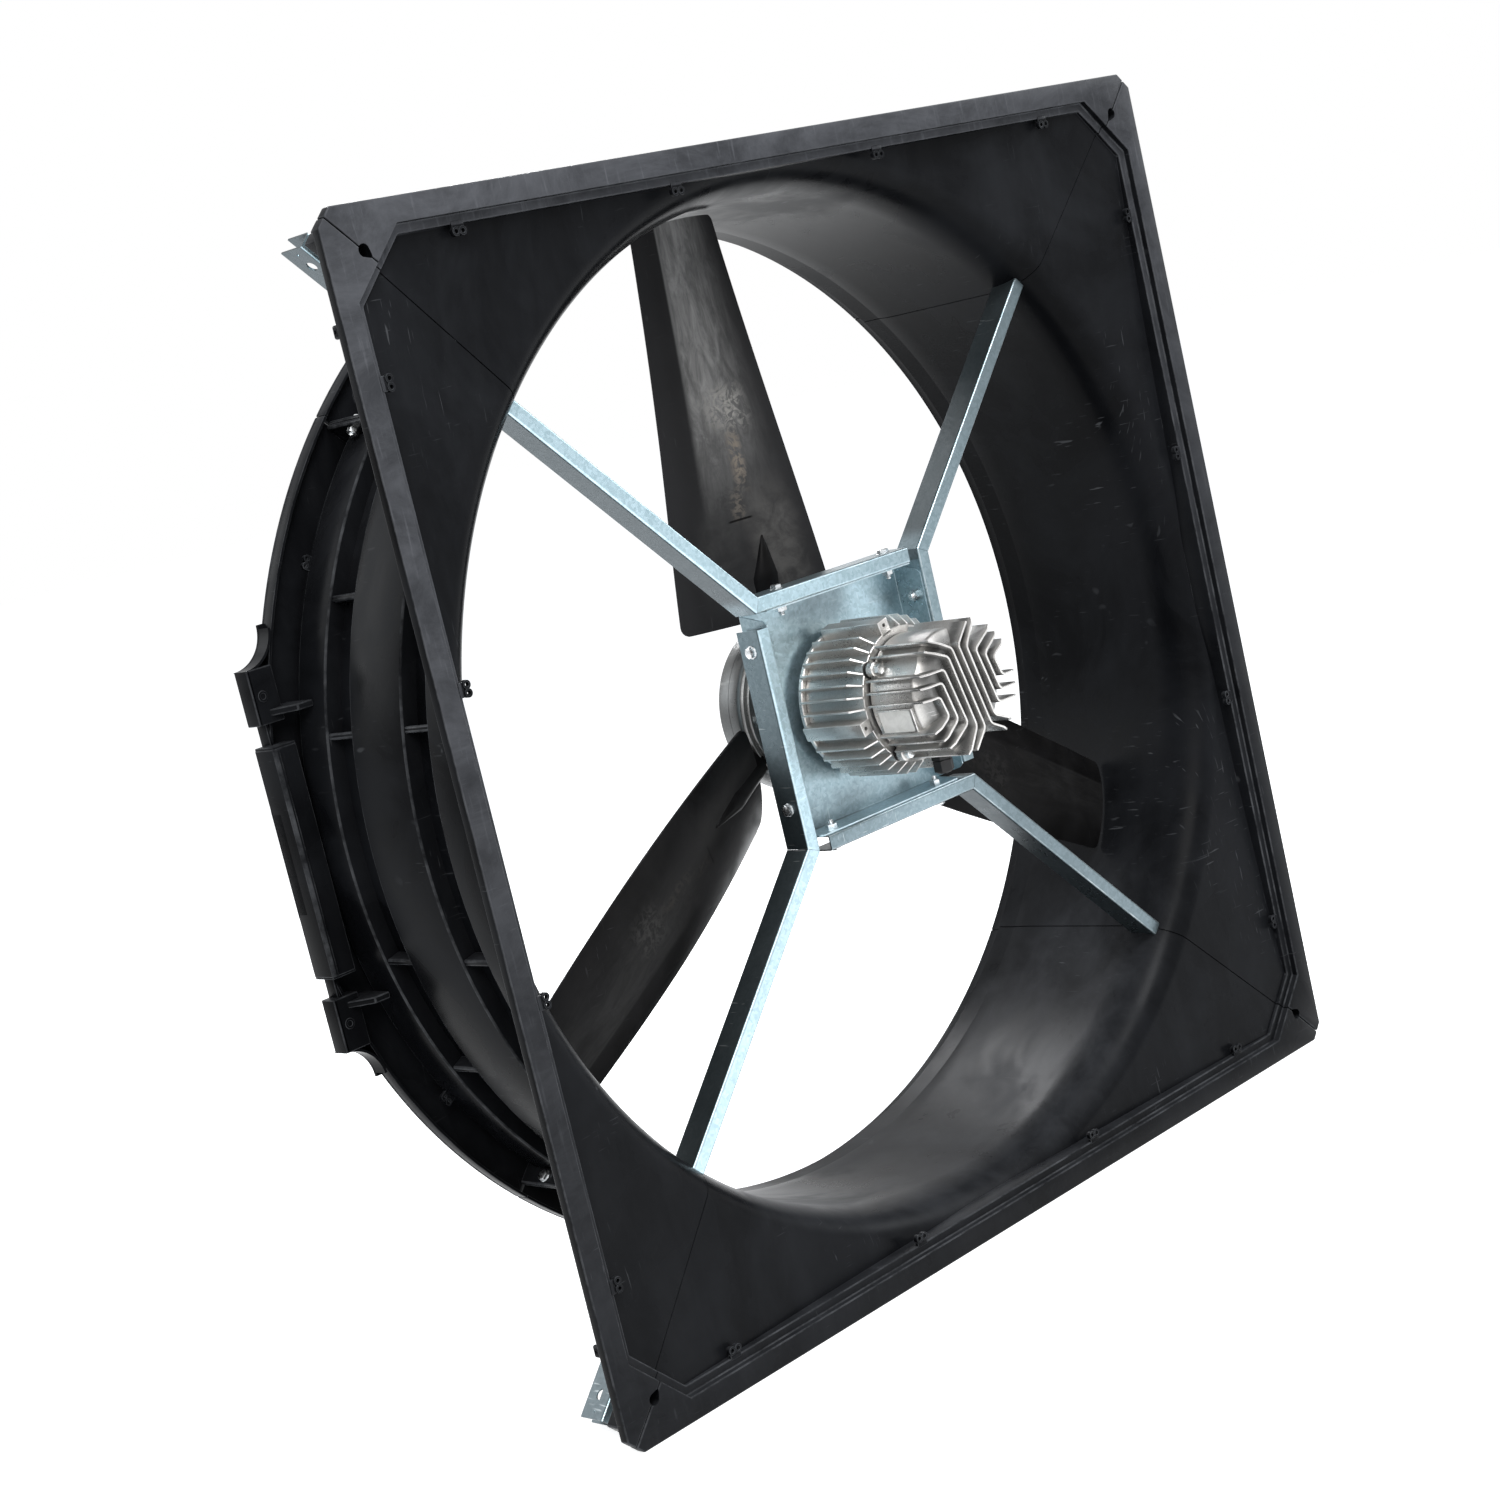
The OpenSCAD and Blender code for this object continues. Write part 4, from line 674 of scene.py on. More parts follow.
def softenEdges(bm, edges, width, segments=2):
    wearAndHighlight = bm.faces.layers.float["wearAndHighlight"]
    made = bmesh.ops.bevel(bm, geom=edges, offset=width, offset_type="OFFSET", segments=segments, profile=0.5,
                           affect="EDGES", clamp_overlap=True, material=-1)
    for face in made["faces"]:
        face[wearAndHighlight] = 1.0


def joinPart(target, part, *places):
    # puts one copy of the part at each place
    for spot in places or (Matrix.Identity(4),):
        copy = part.copy()
        bmesh.ops.transform(copy, matrix=spot, verts=copy.verts)
        faceOut(copy)
        mesh = bpy.data.meshes.new("joined")
        copy.to_mesh(mesh)
        copy.free()
        target.from_mesh(mesh)
        bpy.data.meshes.remove(mesh)
    part.free()


def finishPiece(name, bm, finish, body, *nodes, sharp=34.0):
    wearAndHighlight = bm.faces.layers.float["wearAndHighlight"]
    for face in bm.faces:
        face[wearAndHighlight] = 1.0 if face[wearAndHighlight] == 1.0 else 0.0
    mesh = bpy.data.meshes.new(name)
    bm.to_mesh(mesh)
    bm.free()
    mesh.materials.append(finishes[finish])
    mesh.shade_smooth()
    mesh.set_sharp_from_angle(angle=math.radians(sharp))
    piece = bpy.data.objects.new(name, mesh)
    bpy.context.scene.collection.objects.link(piece)
    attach(piece, body)
    if nodes:
        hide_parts(*nodes)
    return piece


def addBlock(bm, low, high, soft=0.0015, segments=2):
    part = startPart()
    bmesh.ops.create_cube(part, size=1.0)
    bmesh.ops.scale(part, verts=part.verts, vec=Vector(high) - Vector(low))
    bmesh.ops.translate(part, verts=part.verts, vec=(Vector(high) + Vector(low)) / 2)
    if soft:
        softenEdges(part, part.edges[:], soft, segments)
    joinPart(bm, part)


def addSpun(bm, profile, start, stop, steps, closed=True):
    # profile points are (radius, y); angles run from +Z towards +X
    verts = [bm.verts.new((0.0, y, r)) for r, y in profile]
    edges = [bm.edges.new(pair) for pair in zip(verts, verts[1:])]
    if closed:
        edges.append(bm.edges.new((verts[-1], verts[0])))
    bmesh.ops.rotate(bm, verts=verts, cent=(0, 0, 0), matrix=Matrix.Rotation(math.radians(start), 3, "Y"))
    bmesh.ops.spin(bm, geom=verts + edges, axis=(0, 1, 0), cent=(0, 0, 0), dvec=(0, 0, 0),
                   angle=math.radians(stop - start), steps=steps, use_merge=abs(stop - start) == 360.0,
                   use_duplicate=False)


def cutOff(bm, point, normal, close=True):
    # removes what lies on the normal's side of the plane
    made = bmesh.ops.bisect_plane(bm, geom=bm.verts[:] + bm.edges[:] + bm.faces[:], dist=1e-6, plane_co=point,
                                  plane_no=normal, clear_outer=True, clear_inner=False)
    if close:
        rim = [g for g in made["geom_cut"] if isinstance(g, bmesh.types.BMEdge)]
        bmesh.ops.holes_fill(bm, edges=rim, sides=0)


def takeAway(part, cutter):
    # exact difference of two closed parts; both are used up
    objects = []
    for name, bm in (("bodyWork", part), ("cutterWork", cutter)):
        mesh = bpy.data.meshes.new(name)
        bm.to_mesh(mesh)
        bm.free()
        objects.append(bpy.data.objects.new(name, mesh))
        bpy.context.scene.collection.objects.link(objects[-1])
    cut = objects[0].modifiers.new("cut", "BOOLEAN")
    cut.operation = "DIFFERENCE"
    cut.solver = "EXACT"
    cut.object = objects[1]
    bpy.context.view_layer.update()
    done = bpy.data.meshes.new_from_object(objects[0].evaluated_get(bpy.context.evaluated_depsgraph_get()))
    left = bmesh.new()
    left.from_mesh(done)
    for extra in objects:
        bpy.data.objects.remove(extra)
    bmesh.ops.triangulate(left, faces=[f for f in left.faces if len(f.verts) > 4])
    return left


def cutHoles(part, spots, radius, depth=0.2, sides=32):
    # round holes along each spot's own Z axis
    drill = startPart()
    for spot in spots:
        made = bmesh.ops.create_cone(drill, cap_ends=True, segments=sides, radius1=radius, radius2=radius,
                                     depth=depth)
        bmesh.ops.transform(drill, matrix=spot, verts=made["verts"])
    return takeAway(part, drill)


def turnY(degrees):
    return Matrix.Rotation(math.radians(degrees), 4, "Y")


def at(x, y, z):
    return Matrix.Translation((x, y, z))


# turns a part that stands on +Z to look along -Y, along +Y or along +X, and its mirror image in X
facingFront = Matrix.Rotation(math.radians(90), 4, "X")
facingRear = Matrix.Rotation(math.radians(-90), 4, "X")
facingRight = Matrix.Rotation(math.radians(90), 4, "Y")
mirrorX = Matrix.Diagonal((-1, 1, 1, 1))


def newVerts(geom):
    return [g for g in geom if isinstance(g, bmesh.types.BMVert)]


def newEdges(geom):
    return [g for g in geom if isinstance(g, bmesh.types.BMEdge)]


def pullFaces(part, faces, way):
    # draws the faces out into a closed block
    grown = bmesh.ops.extrude_face_region(part, geom=faces)["geom"]
    bmesh.ops.translate(part, verts=newVerts(grown), vec=way)


def makeTube(outside, inside, length, segments, soft):
    tube = startPart()
    for radius in (outside, inside):
        bmesh.ops.create_circle(tube, segments=segments, radius=radius)
    pullFaces(tube, bmesh.ops.bridge_loops(tube, edges=tube.edges[:])["faces"], (0, 0, length))
    softenEdges(tube, hardEdges(tube), soft, 2)
    return tube


# Housing: one panel is built at the top and turned for the other three

housing = {
    "half": 0.700, "cornerCut": 0.020,
    "rimIn": 0.6714, "rimCorner": 0.074, "rimDepth": 0.013,
    "ledgeIn": 0.6604, "ledgeDrop": 0.010, "ledgeCorner": 0.06755,
    "duct": 0.638, "wall": 0.004, "depth": 0.372,
    "inletEnd": 0.105, "flare": 0.042, "skin": 0.0135, "skinReach": 0.906,
    "outletStart": 0.290, "outletEnd": 0.363, "outletFlare": 0.012,
    "band": 0.664, "bands": ((0.147, 0.246), (0.294, 0.349)), "frontBand": 0.102,
    # under the front band, clear of the flared inlet, as (radius, y)
    "frontCurve": [(0.6415, 0.085), (0.6453, 0.0695), (0.6494, 0.059), (0.6545, 0.050), (0.6605, 0.0428)],
    "ribAngles": (-26.0, -12.0, 12.0, 26.0), "ribWidth": 0.008,
    "rimOver": 0.703, "lip": 0.020,
    "footHalf": 0.139, "footDepth": 0.038, "footHeight": 0.034,
    "lugFrom": 0.167, "lugTo": 0.233, "lugDepth": 0.026, "lugHole": 0.00325, "lugBlend": 0.046,
    "seamGap": 0.0014, "seamDepth": 0.0022, "flangeGap": 0.0001, "seamHeight": 0.046, "seamThick": 0.006,
    # two short flanges near each corner: lower and upper (y, radius), thickness, rounding
    "cornerFlanges": [
        ((0.0252, 0.760), (0.0592, 0.800), 0.006, 0.002),
        ((0.0025, 0.9010), (0.0440, 0.962), 0.016, 0.0022),
    ],
    "cornerHole": (0.6495, 0.0072), "cornerTear": 0.0125, "ears": (-0.511, -0.177, 0.177, 0.511),
    "tabs": (-0.5735, 0.5735), "tabHalf": 0.0075, "tabFrom": 0.0085, "tabReach": 0.0245,
    "tabLow": 0.6915, "tabHigh": 0.6975, "tabHole": (0.0197, 0.0021),
    "footRibs": (-0.07, 0.0, 0.07), "lugHeight": 0.036, "gussetHeight": 0.046, "rearEars": (-30.0, 0.0, 30.0),
    # outside and inside radius, length, and how far each of the two tubes is from the ear's middle
    "earTube": (0.0052, 0.0026, 0.0065), "earApart": 0.0047, "earDrop": 0.0082, "earEnd": 0.0142,
    "rearEarTube": (0.0046, 0.0025, 0.0056), "rearEarApart": 0.0045, "rearEarLift": 0.0125,
    # bands, ribs and flanges start this far inside the duct's wall
    "sunk": 0.002,
    # a panel is drawn a little past 45 degrees, then trimmed to its seams
    "span": 47.0, "tongueFrom": 44.0, "steps": 72,
}


def airLine(h):
    # the air's surface from the flange's corner to the rear face, as (radius, y)
    line = [(h["skinReach"], h["skin"])]
    for t in range(90, -1, -6):
        a = math.radians(t)
        y = h["inletEnd"] - (h["inletEnd"] - h["skin"] - 0.0175) * math.sin(a)
        line.append((h["duct"] + h["flare"] * (1 - math.cos(a)), y))
    for t in (0.0, 0.2, 0.4, 0.6, 0.8, 1.0):
        y = h["outletStart"] + (h["outletEnd"] - h["outletStart"]) * t
        line.append((h["duct"] + h["outletFlare"] * t * t, y))
    line.append((line[-1][0], h["depth"]))
    return line


def trimSeams(bm, h):
    for side in (-1, 1):
        away = Vector((side, 0, -1)).normalized()
        cutOff(bm, -away * (h["seamGap"] / 2), away)


def makeSkin(h, start, stop, steps, gap, inset, thick):
    part = startPart()
    addSpun(part, airLine(h), start, stop, steps, closed=False)
    cutOff(part, (0, 0, h["ledgeIn"] + 0.002), (0, 0, 1), close=False)
    corner = (2 * h["ledgeIn"] - h["ledgeCorner"]) / math.sqrt(2) + 0.002
    for side in (-1, 1):
        cutOff(part, Vector((side, 0, 1)).normalized() * corner, (side, 0, 1), close=False)
    for side in (-1, 1):
        away = Vector((side, 0, -1)).normalized()
        cutOff(part, -away * (gap / 2), away, close=False)
    bmesh.ops.remove_doubles(part, verts=part.verts, dist=1e-5)
    faceOut(part)
    # the faces look at the shaft before the wall is made behind them
    low = min(part.faces, key=lambda f: f.calc_center_median().xz.length)
    if low.normal.z > 0:
        bmesh.ops.reverse_faces(part, faces=part.faces)
    part.normal_update()
    for vert in part.verts:
        vert.co -= vert.normal * inset
    bmesh.ops.solidify(part, geom=part.faces[:], thickness=thick)
    return part


def addSkin(panel, h):
    wall = h["wall"] - 0.0004
    span, tongue = h["span"], h["tongueFrom"]
    joinPart(panel, makeSkin(h, -span, span, h["steps"], h["seamGap"], 0.0, wall))
    # a tongue inside the wall closes the bottom of each seam's groove
    thick = wall - 0.0002 - h["seamDepth"]
    for start, stop in ((-span, -tongue), (tongue, span)):
        joinPart(panel, makeSkin(h, start, stop, 3, h["flangeGap"], h["seamDepth"], thick))


def addBands(panel, h):
    r, d = h["band"], h["duct"] + h["sunk"]
    front = [(r, 0.0425), (r, h["frontBand"]), (d, h["frontBand"])] + h["frontCurve"]
    for profile in [front] + [[(r, a), (r, b), (d, b), (d, a)] for a, b in h["bands"]]:
        part = startPart()
        addSpun(part, profile, -h["span"], h["span"], h["steps"])
        trimSeams(part, h)
        outer = [e for e in hardEdges(part) if min(v.co.xz.length for v in e.verts) > r - 0.0005]
        softenEdges(part, outer, 0.0024, 3)
        joinPart(panel, part)
    (middleStart, middleEnd), (rearStart, _) = h["bands"]
    for y, end in ((h["frontBand"], middleStart), (middleEnd, rearStart)):
        for angle in h["ribAngles"]:
            part = startPart()
            addBlock(part, (-h["ribWidth"] / 2, y - 0.003, h["duct"] + h["sunk"]),
                     (h["ribWidth"] / 2, end + 0.003, r - 0.003), 0.0028, 3)
            joinPart(panel, part, turnY(angle))


def cornerDrill(h):
    # holes for the wall bolts, half in each of two panels, drawn out to a point towards the fan
    drill = startPart()
    across, radius = h["cornerHole"]
    for side in (-1, 1):
        tear = startPart()
        bmesh.ops.create_cone(tear, cap_ends=True, segments=40, radius1=radius, radius2=radius, depth=0.2)
        for vert in tear.verts:
            lean = -vert.co.y / radius
            if lean > 0.3:
                # the point of the tear
                vert.co.x *= 1 - 0.75 * (lean - 0.3)
                vert.co.y -= (lean - 0.3) / 0.7 * (h["cornerTear"] - radius)
        joinPart(drill, tear, at(side * across, 0.0, across) @ turnY(45.0 * side) @ facingFront)
    return drill


def addRim(panel, h):
    w = h["wall"]
    levels = [
        (h["half"], h["cornerCut"], h["rimDepth"]), (h["half"], h["cornerCut"], 0.0),
        (h["rimIn"], h["rimCorner"], 0.0), (h["rimIn"], h["rimCorner"], h["ledgeDrop"]),
        (h["ledgeIn"], h["ledgeCorner"], h["ledgeDrop"]), (h["ledgeIn"], h["ledgeCorner"], h["skin"] + 0.026),
        (h["ledgeIn"] + w, h["ledgeCorner"], h["skin"] + 0.026),
        (h["ledgeIn"] + w, h["ledgeCorner"], h["ledgeDrop"] + w),
        (h["rimIn"] + w, h["rimCorner"], h["ledgeDrop"] + w), (h["rimIn"] + w, h["rimCorner"], w),
        (h["half"] - w, h["cornerCut"], w), (h["half"] - w, h["cornerCut"], h["rimDepth"]),
    ]
    part = startPart()
    loops = []
    for x, z in ((-1, 0), (-1, 1), (1, 1), (1, 0)):
        ring = []
        for half, cut, y in levels:
            wide, high = (half, half - cut) if z == 0 else (half - cut, half)
            ring.append(part.verts.new((x * wide, y, high)))
        loops.append([part.edges.new((a, b)) for a, b in zip(ring, ring[1:] + ring[:1])])
    for one, two in zip(loops, loops[1:]):
        bmesh.ops.bridge_loops(part, edges=one + two)
    bmesh.ops.holes_fill(part, edges=loops[0] + loops[-1], sides=0)
    trimSeams(part, h)
    faceOut(part)
    softenEdges(part, [e for e in hardEdges(part) if e.calc_length() > 0.012], 0.0016, 3)
    joinPart(panel, takeAway(part, cornerDrill(h)))


def addEars(panel, h):
    # figure-of-eight screw ears: two short tubes on a web
    for x in h["ears"]:
        part = startPart()
        z, end = h["ledgeIn"] - h["earDrop"], h["earEnd"]
        for side in (-1, 1):
            tube = makeTube(*h["earTube"], 28, 0.0006)
            joinPart(part, tube, at(x + side * h["earApart"], end, z) @ facingFront)
        addBlock(part, (x - 0.0085, end - 0.005, z + 0.0042), (x + 0.0085, end - 0.0002, h["ledgeIn"] + 0.003),
                 0.0008, 2)
        # a mould mark beside the left tube
        addBlock(part, (x - 0.0075, end - 0.0042, z - 0.0012), (x - 0.0058, end - 0.0006, z + 0.006), 0.0004, 1)
        joinPart(panel, part)


def ringSector(h, inner, outer, low, high, soft):
    part = startPart()
    profile = [(inner, low), (outer, low), (outer, high), (inner, high)]
    addSpun(part, profile, -h["span"], h["span"], h["steps"])
    cutOff(part, (0, 0, h["half"]), (0, 0, 1))
    trimSeams(part, h)
    shown = [e for e in hardEdges(part) if max(v.co.xz.length for v in e.verts) > outer - 0.004
             or min(v.co.xz.length for v in e.verts) < inner + 0.0005]
    softenEdges(part, shown, soft, 3)
    return part


def addRearRim(panel, h):
    top, end, over = h["half"], h["depth"], h["rimOver"]
    joinPart(panel, ringSector(h, h["duct"] + h["outletFlare"] + 0.0004, over, end - 0.005, end, 0.0014))
    joinPart(panel, ringSector(h, over - h["wall"], over - 0.0003, end - h["lip"], end - 0.003, 0.0014))
    # long foot: a hollow box with a rounded ridge along its front edge
    part = startPart()
    x, deep, low = h["footHalf"], h["footDepth"], h["footHeight"]
    addBlock(part, (-x, end - deep, top - 0.0045), (x, end - 0.0003, top), 0.0016, 3)
    addBlock(part, (-x, end - deep, top - low), (x, end - deep + 0.0045, top - 0.0005), 0.0016, 3)
    addBlock(part, (-x, end - deep - 0.003, top - 0.009), (x, end - deep + 0.004, top - 0.0012), 0.003, 4)
    for side in (-1, 1):
        addBlock(part, (side * x - 0.0025, end - deep + 0.001, top - low),
                 (side * x + 0.0025, end - 0.0006, top - 0.0006), 0.0012, 2)
    for middle in h["footRibs"]:
        addBlock(part, (middle - 0.002, end - deep + 0.002, top - low),
                 (middle + 0.002, end - 0.004, top - 0.002), 0.001, 2)
    joinPart(panel, part)


def addLugs(panel, h):
    part = startPart()
    top, end = h["half"], h["depth"]
    a, b, deep, high = h["lugFrom"], h["lugTo"], h["lugDepth"], h["lugHeight"]
    addBlock(part, (a, end - deep, top - 0.005), (b, end - 0.0004, top), 0.0014, 3)
    addBlock(part, (a, end - deep, top - high), (b, end - deep + 0.004, top - 0.001), 0.0014, 3)
    for left, right in ((a, a + 0.0045), (b - 0.0045, b)):
        addBlock(part, (left, end - deep + 0.001, top - high), (right, end - 0.0006, top - 0.001), 0.0012, 2)
    # a thin web joins the lug to the foot
    addBlock(part, (h["footHalf"] - 0.001, end - h["lip"], top - 0.015),
             (a + 0.001, end - 0.001, top - 0.011), 0.001, 2)
    # face with its hole at the rear
    addBlock(part, (a + 0.002, end - 0.0046, top - 0.030), (b - 0.002, end - 0.0008, top - 0.002), 0.0006, 1)
    tube = makeTube(0.0068, h["lugHole"], deep + 0.001, 28, 0.0007)
    joinPart(part, tube, at((a + b) / 2, end, top - 0.014) @ facingFront)
    # concave run from the lug down to the round rim, with a wall along it
    run, wall, r = startPart(), startPart(), h["lugBlend"]
    arc = [(b + r - r * math.cos(math.radians(t)), 0, top - r * math.sin(math.radians(t)))
           for t in range(0, 91, 6)]
    outline = [(b - 0.001, 0, top - r - 0.012), (b - 0.001, 0, top)] + arc + [(b + r, 0, top - r - 0.012)]
    run.faces.new([run.verts.new(point) for point in outline])
    pullFaces(run, run.faces[:], (0, 0.0042, 0))
    joinPart(part, run, at(0, end - 0.0046, 0))
    line = [wall.verts.new(point) for point in arc[:-1]]
    for pair in zip(line, line[1:]):
        wall.edges.new(pair)
    grown = bmesh.ops.extrude_edge_only(wall, edges=wall.edges[:])["geom"]
    bmesh.ops.translate(wall, verts=newVerts(grown), vec=(0, deep - 0.004, 0))
    faceOut(wall)
    bmesh.ops.solidify(wall, geom=wall.faces[:], thickness=0.0032)
    joinPart(part, wall, at(0, end - deep + 0.002, 0))
    # gusset over the rear band
    web = startPart()
    low, y = h["duct"] + h["sunk"], h["bands"][1][1]
    crest = low + h["gussetHeight"]
    outline = ((y - 0.032, low), (y - 0.032, h["band"] - 0.002), (end - h["lip"], crest), (end - 0.004, crest),
               (end - 0.004, low))
    web.faces.new([web.verts.new((a + 0.008, *point)) for point in outline])
    pullFaces(web, web.faces[:], (h["ribWidth"], 0, 0))
    softenEdges(web, hardEdges(web), 0.0016, 3)
    joinPart(part, web)
    joinPart(panel, part, mirrorX, Matrix.Identity(4))


def addSeamFlanges(panel, h):
    for side in (-1, 1):
        part = startPart()
        gap = h["flangeGap"] / 2
        rear, top = h["depth"] - 0.004, h["duct"] + h["sunk"] + h["seamHeight"]
        # the long flange follows the duct's wall
        foot = [(y, radius + h["seamDepth"]) for radius, y in airLine(h) if h["inletEnd"] - 1e-6 <= y < rear]
        outline = foot + [(rear, foot[-1][1]), (rear, top), (foot[0][0], top)]
        web = startPart()
        web.faces.new([web.verts.new((gap, y, z)) for y, z in outline])
        pullFaces(web, web.faces[:], (h["seamThick"], 0, 0))
        faceOut(web)
        softenEdges(web, [e for e in hardEdges(web) if max(v.co.z for v in e.verts) > top - 0.001], 0.0026, 3)
        joinPart(part, web)
        for low, high, reach, soft in h["cornerFlanges"]:
            addBlock(part, (gap, *low), (gap + reach, *high), soft, 3)
        turned = startPart()
        joinPart(turned, part, turnY(-45.0) if side < 0 else mirrorX @ turnY(-45.0))
        joinPart(panel, takeAway(turned, cornerDrill(h)))


def addSideTabs(panel, h):
    # small pierced tabs behind the rim's outer edge, near the corners
    for x in h["tabs"]:
        tab, (y, radius) = startPart(), h["tabHole"]
        addBlock(tab, (x - h["tabHalf"], h["tabFrom"], h["tabLow"]),
                 (x + h["tabHalf"], h["tabReach"], h["tabHigh"]), 0.0026, 4)
        spot = at(x, y, (h["tabLow"] + h["tabHigh"]) / 2)
        joinPart(panel, cutHoles(tab, [spot], radius, depth=0.02, sides=20))


def addRearEars(panel, h):
    y, z = h["bands"][1][1], h["band"] - 0.006
    top = z + h["rearEarLift"]
    for angle in h["rearEars"]:
        part = startPart()
        addBlock(part, (-0.009, y - 0.0042, z), (0.009, y - 0.0002, top), 0.001, 2)
        for side in (-1, 1):
            tube = makeTube(*h["rearEarTube"], 24, 0.0005)
            joinPart(part, tube, at(side * h["rearEarApart"], y + 0.0006, top) @ facingFront)
        joinPart(panel, part, turnY(angle))


def makePanels(h):
    panel = startPart()
    addSkin(panel, h)
    addBands(panel, h)
    addRim(panel, h)
    addEars(panel, h)
    addRearRim(panel, h)
    addLugs(panel, h)
    addSeamFlanges(panel, h)
    addSideTabs(panel, h)
    addRearEars(panel, h)
    for number, place in enumerate(("Top", "Right", "Bottom", "Left")):
        copy = panel.copy()
        bmesh.ops.transform(copy, matrix=turnY(90.0 * number), verts=copy.verts)
        finishPiece("housing" + place, copy, "housingPlastic", "frame", "panel_" + place.lower())
    panel.free()


makePanels(housing)
print("the four housing panels are made")


# Sheet metal: struts and motor plate

sheet = {
    "thick": 0.002, "bend": 0.0032, "strutHalf": 0.010, "front": 0.060, "back": 0.098,
    "endS": 0.956, "hangS": 0.927, "endHoleS": 0.947, "hang": 0.0065, "endHole": 0.0015, "holeY": 0.078,
    "legMid": 0.155, "legEnd": 0.126, "mitreGap": 0.00022,
    "plateHalf": 0.145, "plateBack": 0.110, "edgeY": 0.064, "plateHole": 0.042,
    "boltX": 0.100, "boltY": 0.079, "motorBolt": 0.054,
}


def channelSection(s):
    # an open channel with quarter-round bends in its two front corners, as (across, y)
    w, r, t = s["strutHalf"], s["bend"], s["thick"]
    # the points beside the bends keep the flat faces' shading flat
    rest = 0.0004
    outer, inner = [(w, s["front"] + r + rest)], [(w - t, s["front"] + r + rest)]
    for degrees in (0, 22, 45, 68, 90):
        a = math.radians(degrees)
        outer.append((w - r + r * math.cos(a), s["front"] + r - r * math.sin(a)))
        inner.append((w - r + (r - t) * math.cos(a), s["front"] + r - (r - t) * math.sin(a)))
    outer = [(w, s["back"])] + outer + [(w - r - rest, s["front"])]
    inner = [(w - t, s["back"])] + inner + [(w - r - rest, s["front"] + t)]
    return (outer + [(-x, y) for x, y in reversed(outer)] + [(-x, y) for x, y in inner] +
            [(x, y) for x, y in reversed(inner)])


def addLeg(part, s, ends):
    # each end is (x, z) on the middle line and the direction across, stretched on a mitre
    loops = []
    for (x, z), across in ends:
        ring = [part.verts.new((x + d * across[0], y, z + d * across[1])) for d, y in channelSection(s)]
        loops.append([part.edges.new(pair) for pair in zip(ring, ring[1:] + ring[:1])])
    bmesh.ops.bridge_loops(part, edges=loops[0] + loops[1])
    bmesh.ops.holes_fill(part, edges=loops[0] + loops[1], sides=0)
    faceOut(part)


def makeStruts(s):
    strut = startPart()
    diagonal, level = Vector((1, -1)).normalized(), Vector((1, 0))
    acrossOne, acrossTwo = Vector((1, 1)).normalized(), Vector((0, 1))
    mitre = (acrossOne + acrossTwo).normalized()
    mitre /= mitre.dot(acrossOne)
    bend = Vector((-s["legMid"], s["legMid"]))
    outer = startPart()
    addLeg(outer, s, [(Vector((-1, 1)).normalized() * s["endS"], acrossOne),
                      (bend - diagonal * s["mitreGap"], mitre)])
    across = turnY(-45) @ at(0, s["holeY"], 0)
    outer = cutHoles(outer, [across @ at(0, 0, s["hangS"]) @ facingRight], s["hang"])
    outer = cutHoles(outer, [across @ at(0, 0, s["endHoleS"]) @ facingRight], s["endHole"], sides=16)
    inner = startPart()
    addLeg(inner, s, [(bend + level * s["mitreGap"], mitre), (Vector((s["legEnd"], s["legMid"])), acrossTwo)])
    for leg in (outer, inner):
        wearAndHighlight = leg.faces.layers.float["wearAndHighlight"]
        for face in leg.faces:
            # the bends get the rub colour, mostly as a painted highlight along each bend
            face[wearAndHighlight] = 1.0 if -0.96 < face.normal.y < -0.7 else 0.0
        joinPart(strut, leg)
    corners = (("Upper", "Left"), ("Upper", "Right"), ("Lower", "Right"), ("Lower", "Left"))
    for number, (row, side) in enumerate(corners):
        copy = strut.copy()
        bmesh.ops.transform(copy, matrix=turnY(90.0 * number), verts=copy.verts)
        finishPiece("strut" + row + side, copy, "galvanisedSheet", "frame",
                    "_".join(("strut", row, side)).lower(), sharp=24.0)
    strut.free()


